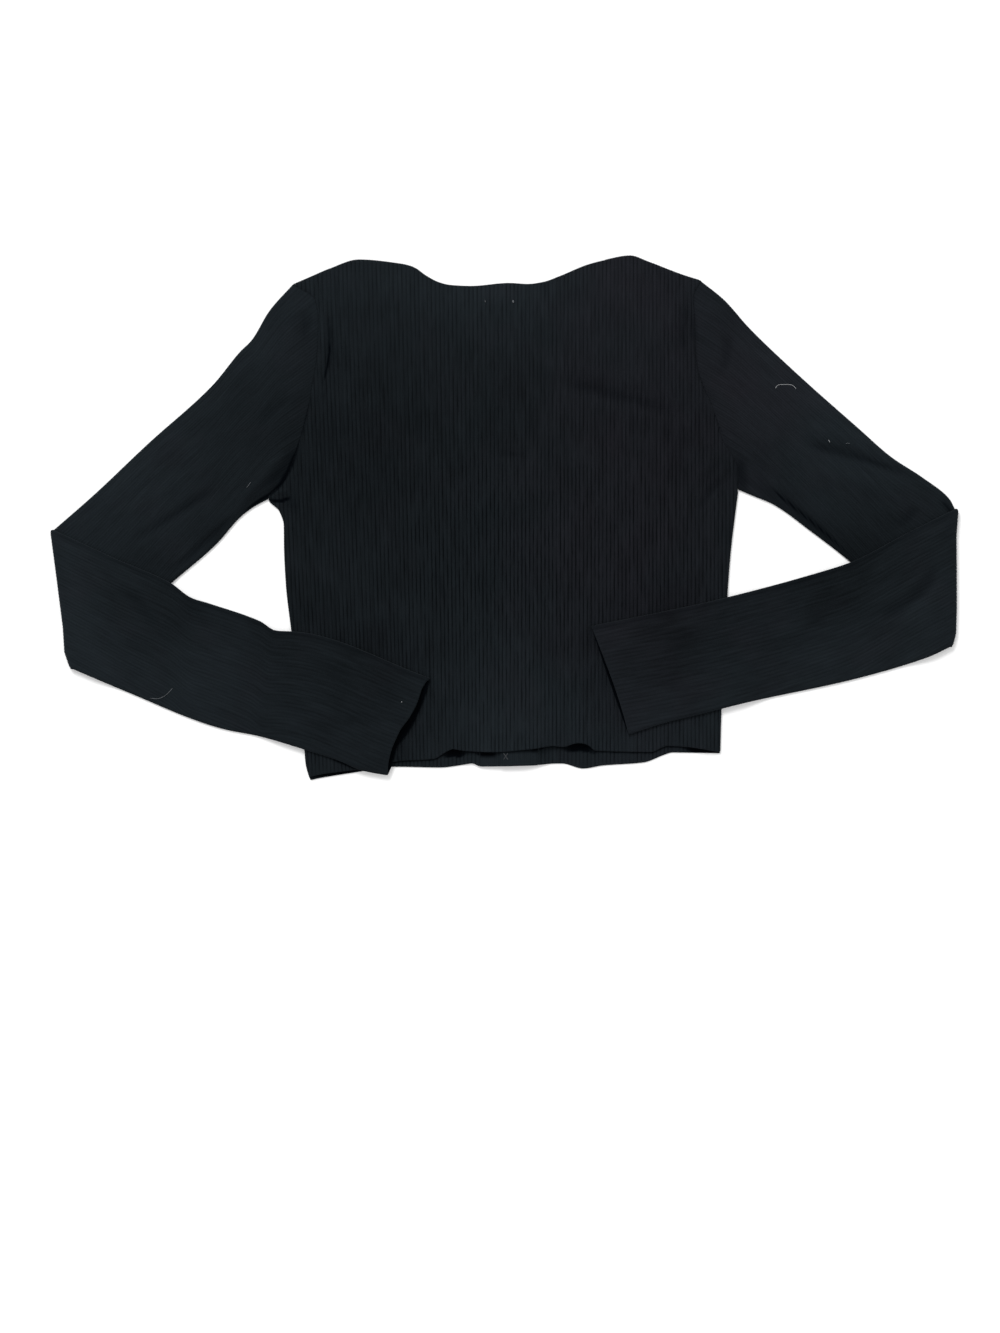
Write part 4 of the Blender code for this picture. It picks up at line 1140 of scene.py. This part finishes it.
def sleeve(name, node, form, side, outwards, lowest, highest):
    """A folded sleeve as a closed shell round its hollow.

    Each row is a section with a start on the outer edge, an end on the underarm edge and a fold angle
    (0 on the upper arm, pi on the forearm). A point lies at a share of the way across and at a depth,
    0 on the wall that faces the table at the upper arm. With R the fold radius and r = R - depth, it
    moves outwards by r sin(angle) and to the height R - r cos(angle). Forearms drop to the table.
    """
    seam_line = armhole_line(side, outwards, lowest, highest)
    outer_line, inner_line = np.array(form["outer"]), np.array(form["inner"])
    for line, seam_end in ((outer_line, seam_line[0]), (inner_line, seam_line[-1])):
        line[-1, 0] -= outwards * (FOLD_RADIUS + RIB_RAISE)
        line[0] = seam_end
    arm = fine_ends(ARM_LENGTH, ROW_STEP)[:1 - len(EDGE_ROWS)]
    arm = arm / arm[-1]
    bend = np.linspace(0.0, math.pi, FOLD_ROWS + 2)[1:-1]
    fore = 1 - fine_ends(FOREARM_LENGTH, ROW_STEP)[:1 - len(EDGE_ROWS)][::-1]
    fore = (fore - fore[0]) / (fore[-1] - fore[0])

    def rail(upper, lower):
        """One end of each row: along the upper arm, still round the fold, and along the forearm."""
        return np.concatenate([
            along(upper, arm), np.tile(upper[-1], (len(bend), 1)),
            along([upper[-1], *lower[1:]], fore)])[:, None]

    def rows(on_arm, on_bend, on_fore):
        """A column with a value for each row."""
        return np.concatenate([on_arm, on_bend, on_fore])[:, None]

    starts = rail(outer_line, form["forearm_upper"])
    ends = rail(inner_line, form["forearm_lower"])
    angle = rows(0 * arm, bend, 0 * fore + math.pi)
    arm_share = rows(arm, 0 * bend + 1, 0 * fore + 1)
    fore_share = rows(0 * arm, 0 * bend, fore)
    upside = smooth(angle / math.pi)
    width = np.linalg.norm(ends - starts, axis=2)
    arm_pitch, fore_pitch = form["pitch"]
    pitch = arm_pitch + (fore_pitch - arm_pitch) * smooth(arm_share * 0.5 + fore_share * 0.5)

    half_ring = math.ceil(WIDEST / arm_pitch) * SLEEVE_RIB_STEPS
    ring = np.arange(2 * half_ring)[None, :]
    on_high = ring <= half_ring
    across = np.minimum(np.where(on_high, ring, 2 * half_ring - ring) / SLEEVE_RIB_STEPS * pitch, width)
    rib_number = across / pitch

    seam_share = walked_along(seam_line) / walked_along(seam_line)[-1]
    bulge = seam_line - seam_line[0] - seam_share[:, None] * (seam_line[-1] - seam_line[0])
    curve = soft_curve(*np.array(ARMHOLE_CURVE).T, arm_share) * (angle == 0)
    bow_places, bow_values = np.array(form["elbow"]).T
    cuff_way = unit((starts[-1] - starts[-12])[0])
    upper_line = edge(sorted(form["forearm_upper"]))
    upper_x = np.array(form["forearm_upper"])[:, 0]
    edge_start, edge_end = np.array(form["inner"][-2:])
    edge_way = unit(edge_end - edge_start)
    edge_away = np.array([edge_way[1], -edge_way[0]]) * outwards

    def place(across, high, offset):
        """Points of one skin, offset from the tube's middle plane, and its painted shade: in troughs, along
        seams, on a forearm's upper edge and at the cuff.
        """
        share = across / width
        x = starts[..., 0] + share * (ends - starts)[..., 0]
        y = starts[..., 1] + share * (ends - starts)[..., 1]
        x = x + curve * np.interp(share, seam_share, bulge[:, 0])
        y = y + curve * np.interp(share, seam_share, bulge[:, 1])
        near_fold = ramp(arm_share, 0.90, 1.0) * ramp(fore_share, 0.10, 0.0)
        x = x + outwards * near_fold * np.interp(share, bow_places, bow_values)

        gap = np.minimum(across, width - across)
        inland = smooth(gap / SWELL_INLAND)
        near = smooth(gap / FOLD_EDGE)
        above = y - upper_line(np.clip(x, upper_x.min(), upper_x.max()))
        bare = ramp(above, 0.003, 0.023) * (angle == 0) * smooth(arm_share / 0.015)
        arm_raised = near * folds(x, y, form["arm_folds"])
        arm_swell = SLEEVE_SWELL * inland * smooth(arm_share / 0.06)
        arm_lift = bare * soft_floor(arm_swell + arm_raised, 0.0)
        arm_shade = crease_shade(arm_raised) + folds(x, y, form["arm_shades"] + SEAM_SHADES)
        # painted black shade on the forearm's lower wall at the very end of the cuff
        arm_shade = arm_shade * (angle == 0) + ramp(fore_share, 0.985, 0.995)

        fore_rise = smooth(fore_share / 0.05)
        fore_raised = near * folds(x, y, form["forearm_folds"])
        fore_lift = fore_rise * soft_floor(FOREARM_SWELL * inland + fore_raised, 0.0)
        fore_lift = fore_lift + CUFF_OPEN * ramp(fore_share, 0.90, 1.0) * smooth(gap / 0.030)
        rim_shade = RIM_SHADE * ramp(across, RIM_WIDTH, 0.0) * smooth(fore_share / 0.02)
        fore_shade = fore_rise * crease_shade(fore_raised) + rim_shade

        set_back = ramp(fore_share, 0.86, 1.0) * np.where(
            high, edge(form["cuff_under"])(share), edge(form["cuff"])(share))
        x = x - cuff_way[0] * set_back
        y = y - cuff_way[1] * set_back
        depth = TUBE / 2 + np.where(high, offset + arm_lift, -offset - fore_lift)
        reach = FOLD_RADIUS - depth
        past_arm = (x - edge_start[0]) * edge_away[0] + (y - edge_start[1]) * edge_away[1]
        past_body = outwards * (x - side(y))
        bare_table = np.maximum(np.minimum(past_arm, past_body), 0.0)
        drop = FOREARM_REST * smooth((bare_table - OVERHANG) / DESCENT) * (angle == math.pi)
        x = x + outwards * reach * np.sin(angle)
        z = FOLD_RADIUS - reach * np.cos(angle) - drop
        return np.stack([x, y, z], -1), np.minimum(np.where(high, arm_shade, fore_shade), 1.0)

    rounding = rounded(np.minimum(across, width - across), TUBE_ROUND)
    armhole_gap = arm_share * ARM_LENGTH
    cuff_gap = (1 - fore_share) * FOREARM_LENGTH
    thinned = (1 - rounded(np.minimum(armhole_gap, cuff_gap), EDGE_ROUND)) * END_THIN
    roll, started = turned_edge(cuff_gap)
    ribs = SLEEVE_RELIEF * rib(rib_number) * rounding * started * smooth(armhole_gap / RIB_END)
    resting = np.where(on_high, upside, 1 - upside)
    relief = ((ribs - resting) * RIB_RAISE + roll * TURNED_RAISE * (1 - resting)) * rounding
    outer, outer_shade = place(across, on_high, (TUBE / 2 - thinned) * rounding + relief)

    inner_across = np.clip(across[:, ::SLEEVE_RIB_STEPS], HOLLOW_INSET, width - HOLLOW_INSET)
    inner_gap = np.minimum(inner_across, width - inner_across) - HOLLOW_INSET
    inner_offset = (AIR / 2 + thinned) * rounded(inner_gap, HOLLOW_ROUND)
    inner, _ = place(inner_across, on_high[:, ::SLEEVE_RIB_STEPS], inner_offset)

    walk = arm_share * ARM_LENGTH + angle / math.pi * FOLD_LENGTH + fore_share * FOREARM_LENGTH
    uv = np.stack(np.broadcast_arrays(rib_number, walk / COURSE), -1)
    # painted black shade on the inner skins towards the cuff, where the open cuff shows them
    hollow = np.broadcast_to(ramp(fore_share, 0.80, 0.95), inner_across.shape)
    piece = cloth(
        name, outer, inner, uv, uv[:, ::SLEEVE_RIB_STEPS], (outer_shade, hollow), sleeve_cloth, around=True)
    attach(piece, "root")
    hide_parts(node)
    edge_line, _ = place(width - 0.0003, True, 0.0)
    underarm = seam("seam_under_" + node, edge_line[:-1, 0], SEAM_HALF, SEAM_HALF)
    armhole = joining("seam_armhole_" + name[12:], *seam_line.T, ARMHOLE_SEAM_Z, ARMHOLE_SEAM_HALF)
    return piece


sleeve_left = sleeve("knit_sleeve_left", "sleeve_left", SLEEVES["left"], left_edge, -1, 0.0155, 0.1866)
sleeve_right = sleeve("knit_sleeve_right", "sleeve_right", SLEEVES["right"], right_edge, 1, 0.0230, 0.1892)


# ------------------------------------------------
# Buttons
# Six small four-hole buttons, sewn to the inner band and buttoned through the outer one, so their faces
# lie on the table. Their thread is paler than the knit, and the lowest one's shows on the inner band.

BUTTON_X = 0.0026
BUTTON_FIRST_Y = -0.1908
BUTTON_SPACING = 0.0560
BUTTON_COUNT = 6
HOLE_RADIUS = 0.0007
HOLE_FROM_CENTRE = 0.0014
HOLE_DEEP = 0.0040
BUTTON_THREAD = 0.00025     # radius
DISH_Z = 0.00034            # height of the thread in the dished face
THREAD_END = 0.0016         # and of its ends, up in the holes
SHANK_RADIUS = 0.0009
MARK_THREAD = 0.00026       # the one that shows
HIDDEN_MARK_THREAD = 0.00018
MARK_RISE = 0.0002
BUTTONHOLE = (0.0066, 0.0011)     # half its length and width
BUTTONHOLE_THREAD = 0.00035
BUTTONHOLE_STITCH = 0.0008
STAND_TOP = STAND_LIFT + WALL

# Profile from the face on the table to the back: radius, height
BUTTON_PROFILE = [
    (0.0, 0.00062), (0.0024, 0.00062), (0.0030, 0.00056), (0.0035, 0.00034), (0.0038, 0.00012),
    (0.0041, 0.00002), (0.0047, 0.00002), (0.0050, 0.00010), (0.0053, 0.00036), (0.0055, 0.00080),
    (0.0055, 0.00120), (0.0053, 0.00160), (0.0049, 0.00196), (0.0044, 0.00214), (0.0038, 0.00220),
    (0.0, 0.00220),
]
# Crossed strands of thread on the inner band, from the button's middle: x and y of both ends
SEWING_MARK = [((-0.0034, 0.0029), (0.0002, -0.0024)), ((0.0000, 0.0028), (-0.0033, -0.0023))]


def turned(profile, sides):
    """A closed body turned round z from a profile whose ends are on the axis: points, faces, empty UV."""
    radius, height = np.array(profile).T
    angle = np.arange(sides) / sides * 2 * np.pi
    ring_radius, ring_height = radius[1:-1, None], height[1:-1, None]
    rings = np.stack([
        ring_radius * np.cos(angle), ring_radius * np.sin(angle), ring_height + 0 * angle], -1)
    points = np.concatenate([rings.reshape(-1, 3), [(0.0, 0.0, height[0]), (0.0, 0.0, height[-1])]])
    return points, ring_faces(len(rings), sides), np.zeros((len(points), 2))


def yarn_finish(name, colour, roughness, sheen):
    """A thread's material: uneven in tone, with a fine twisted relief and a little sheen."""
    material, tree, shader, place = plain_material(
        name, colour, {"Roughness": roughness, "Specular IOR Level": 0.2, "Sheen Weight": sheen})
    tone = add_node(tree, "TexNoise", {"Vector": place, "Scale": 1400.0, "Detail": 2.0})
    shade = ranged(tree, tone.outputs["Fac"], 0.3, 0.7, 0.65, 1.25)
    tree.links.new(mixed(tree, 1.0, colour, shade, blend="MULTIPLY"), shader.inputs["Base Color"])
    twist = add_node(
        tree, "TexWave", {"Vector": place, "Scale": 420.0, "Distortion": 1.5}, bands_direction="DIAGONAL")
    add_relief(tree, shader, twist.outputs["Fac"], 0.4, 0.0001)
    return material


def thread(points, radius):
    """A thread along straight runs between points, with its bends rounded off by closer points."""
    length = walked_along(points)[-1]
    line = points_at(points, np.linspace(0.0, length, max(6, round(length / radius))))
    line[1:-1] = (line[:-2] + line[1:-1] + line[2:]) / 3
    return tube(line, radius, radius)


button_resin, resin_tree, resin_shader, resin_place = plain_material(
    "button_resin", (0.010, 0.011, 0.012), {"Roughness": 0.34, "Specular IOR Level": 0.5})
resin_swirl = add_node(resin_tree, "TexNoise", {
    "Vector": resin_place, "Scale": 260.0, "Detail": 4.0, "Distortion": 1.8}).outputs["Fac"]
resin_colour = mixed(resin_tree, resin_swirl, (0.005, 0.0055, 0.0065), (0.017, 0.018, 0.020))
resin_tree.links.new(resin_colour, resin_shader.inputs["Base Color"])
resin_wear = ranged(resin_tree, resin_swirl, 0.3, 0.7, 0.26, 0.42)
resin_tree.links.new(resin_wear, resin_shader.inputs["Roughness"])
button_thread = yarn_finish("button_thread", (0.042, 0.045, 0.050), 0.75, 0.15)

quarters = np.deg2rad(45.0 + 90.0 * np.arange(4))
hole_places = np.column_stack([np.cos(quarters), np.sin(quarters)]) * HOLE_FROM_CENTRE
hole_profile = [(0.0, -HOLE_DEEP), (HOLE_RADIUS, -HOLE_DEEP), (HOLE_RADIUS, HOLE_DEEP), (0.0, HOLE_DEEP)]
hole_points, hole_faces, hole_uv = turned(hole_profile, 24)
drill_points, drill_faces, _ = joined(
    [(hole_points + (*place, 0.0), hole_faces, hole_uv) for place in hole_places])
drill = mesh_object("drill", drill_points, drill_faces, button_resin)
blank = mesh_object("blank", *turned(BUTTON_PROFILE, 64)[:2], button_resin)
holes = blank.modifiers.new("holes", "BOOLEAN")
holes.operation = "DIFFERENCE"
holes.solver = "EXACT"
holes.object = drill
drilled = bpy.data.meshes.new_from_object(blank.evaluated_get(bpy.context.evaluated_depsgraph_get()))
drilled.set_sharp_from_angle(angle=math.radians(42.0))
bpy.data.objects.remove(drill)
bpy.data.objects.remove(blank)

buttonholes = []
for number in range(BUTTON_COUNT):
    centre = np.array([BUTTON_X, BUTTON_FIRST_Y + number * BUTTON_SPACING, 0.0])
    button_mesh = drilled.copy()
    button_mesh.transform(Matrix.Translation(centre.tolist()))
    button = bpy.data.objects.new(f"turned_button_{number + 1}", button_mesh)
    bpy.context.scene.collection.objects.link(button)
    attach(button, "root")
    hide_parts(f"button_{number + 1}")

    strands = []
    for first, second in ((0, 2), (1, 3)):
        a, b = hole_places[first], hole_places[second]
        strands.append(thread(
            centre + [(*a, THREAD_END), (*a, DISH_Z), (*b, DISH_Z), (*b, THREAD_END)], BUTTON_THREAD))
    strands.append(thread(centre + [(0.0, 0.0, 0.0018), (0.0002, 0.0001, STAND_LIFT + 0.0002)], SHANK_RADIUS))
    for start, end in np.array(SEWING_MARK):
        flat = start + np.array([[0.0], [0.3], [0.7], [1.0]]) * (end - start)
        raised = STAND_TOP + np.array([0.0, MARK_RISE, MARK_RISE, 0.0])
        strands.append(thread(
            centre + np.column_stack([flat, raised]), MARK_THREAD if number == 0 else HIDDEN_MARK_THREAD))
    sewing_points, sewing_faces, _ = joined(strands)
    sewing = mesh_object(f"button_thread_{number + 1}", sewing_points, sewing_faces, button_thread)
    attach(sewing, "root")

    turn = np.linspace(0.0, 2 * np.pi, 90)
    oval = centre + np.column_stack(
        [BUTTONHOLE[0] * np.cos(turn), BUTTONHOLE[1] * np.sin(turn), np.full(90, BAND_LIFT + 0.0001)])
    fullness = BUTTONHOLE_THREAD * (0.8 + 0.2 * np.abs(np.sin(12 * turn)))
    buttonholes.append(tube(oval, fullness, fullness))
oval_points, oval_faces, oval_uv = joined(buttonholes)
# a little painted shade on the buttonhole stitches
buttonhole_stitches = knitted(
    "buttonhole_stitches", oval_points, oval_faces, oval_uv / (1.0, BUTTONHOLE_STITCH),
    np.full(len(oval_points), 0.1), band_cloth)
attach(buttonhole_stitches, "root")


# ------------------------------------------------
# Loose threads
# Two pale tacks at the neck, and the lint and dimmer dust on the cloth: curled and straight fibres.

# Piece they lie on, radius, then x and y of each point
TACKS = [
    (knit_back, 0.00024, [(-0.0156, 0.1738), (-0.0154, 0.1732), (-0.0154, 0.1725)]),
    (knit_back, 0.00060, [(0.0067, 0.1739), (0.0069, 0.1730), (0.0070, 0.1718)]),
]
LINT = [
    (sleeve_right, 0.00016, [
        (0.2164, 0.1032), (0.2174, 0.1052), (0.2196, 0.1063), (0.2236, 0.1065), (0.2284, 0.1063),
        (0.2310, 0.1052), (0.2330, 0.1028)]),
    (sleeve_right, 0.00017, [(0.2586, 0.0622), (0.2594, 0.0612), (0.2598, 0.0602)]),
    (sleeve_left, 0.00016, [(-0.0824, -0.1466), (-0.0820, -0.1471), (-0.0817, -0.1474)]),
]
DUST = [
    (sleeve_right, 0.00012, [(0.2724, 0.0590), (0.2740, 0.0596), (0.2756, 0.0592)]),
    (sleeve_left, 0.00012, [(-0.2058, 0.0240), (-0.2044, 0.0258), (-0.2026, 0.0284)]),
    (sleeve_left, 0.00013, [
        (-0.2836, -0.1440), (-0.2780, -0.1446), (-0.2732, -0.1432), (-0.2684, -0.1396), (-0.2652, -0.1360)]),
]


FIBRE_REACH = 0.0032        # a fibre rests on the highest point this near to it


def fibre(piece, radius, points):
    """A fibre through points seen from above, resting on the piece's highest places under it."""
    fine = along(points, np.linspace(0.0, 1.0, 24))
    cloth_points = np.empty(len(piece.data.vertices) * 3)
    piece.data.vertices.foreach_get("co", cloth_points)
    cloth_x, cloth_y, cloth_z = cloth_points.reshape(-1, 3).T
    heights = [cloth_z[np.hypot(cloth_x - x, cloth_y - y) < FIBRE_REACH].max() for x, y in fine]
    heights = np.convolve(np.pad(heights, 3, mode="edge"), np.full(7, 1 / 7), mode="valid")
    return tube(np.column_stack([fine, heights + radius]), radius, radius, sides=6)


for name, rows, finish in (
    ("neck_tacks", TACKS, yarn_finish("tack_thread", (0.13, 0.14, 0.15), 0.8, 0.1)),
    ("lint", LINT, yarn_finish("lint_fibre", (0.34, 0.35, 0.36), 0.8, 0.1)),
    ("dust", DUST, yarn_finish("dust_fibre", (0.13, 0.14, 0.15), 0.8, 0.1)),
):
    fibre_points, fibre_faces, _ = joined([fibre(*row) for row in rows])
    fibres = mesh_object(name, fibre_points, fibre_faces, finish)
    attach(fibres, "root")
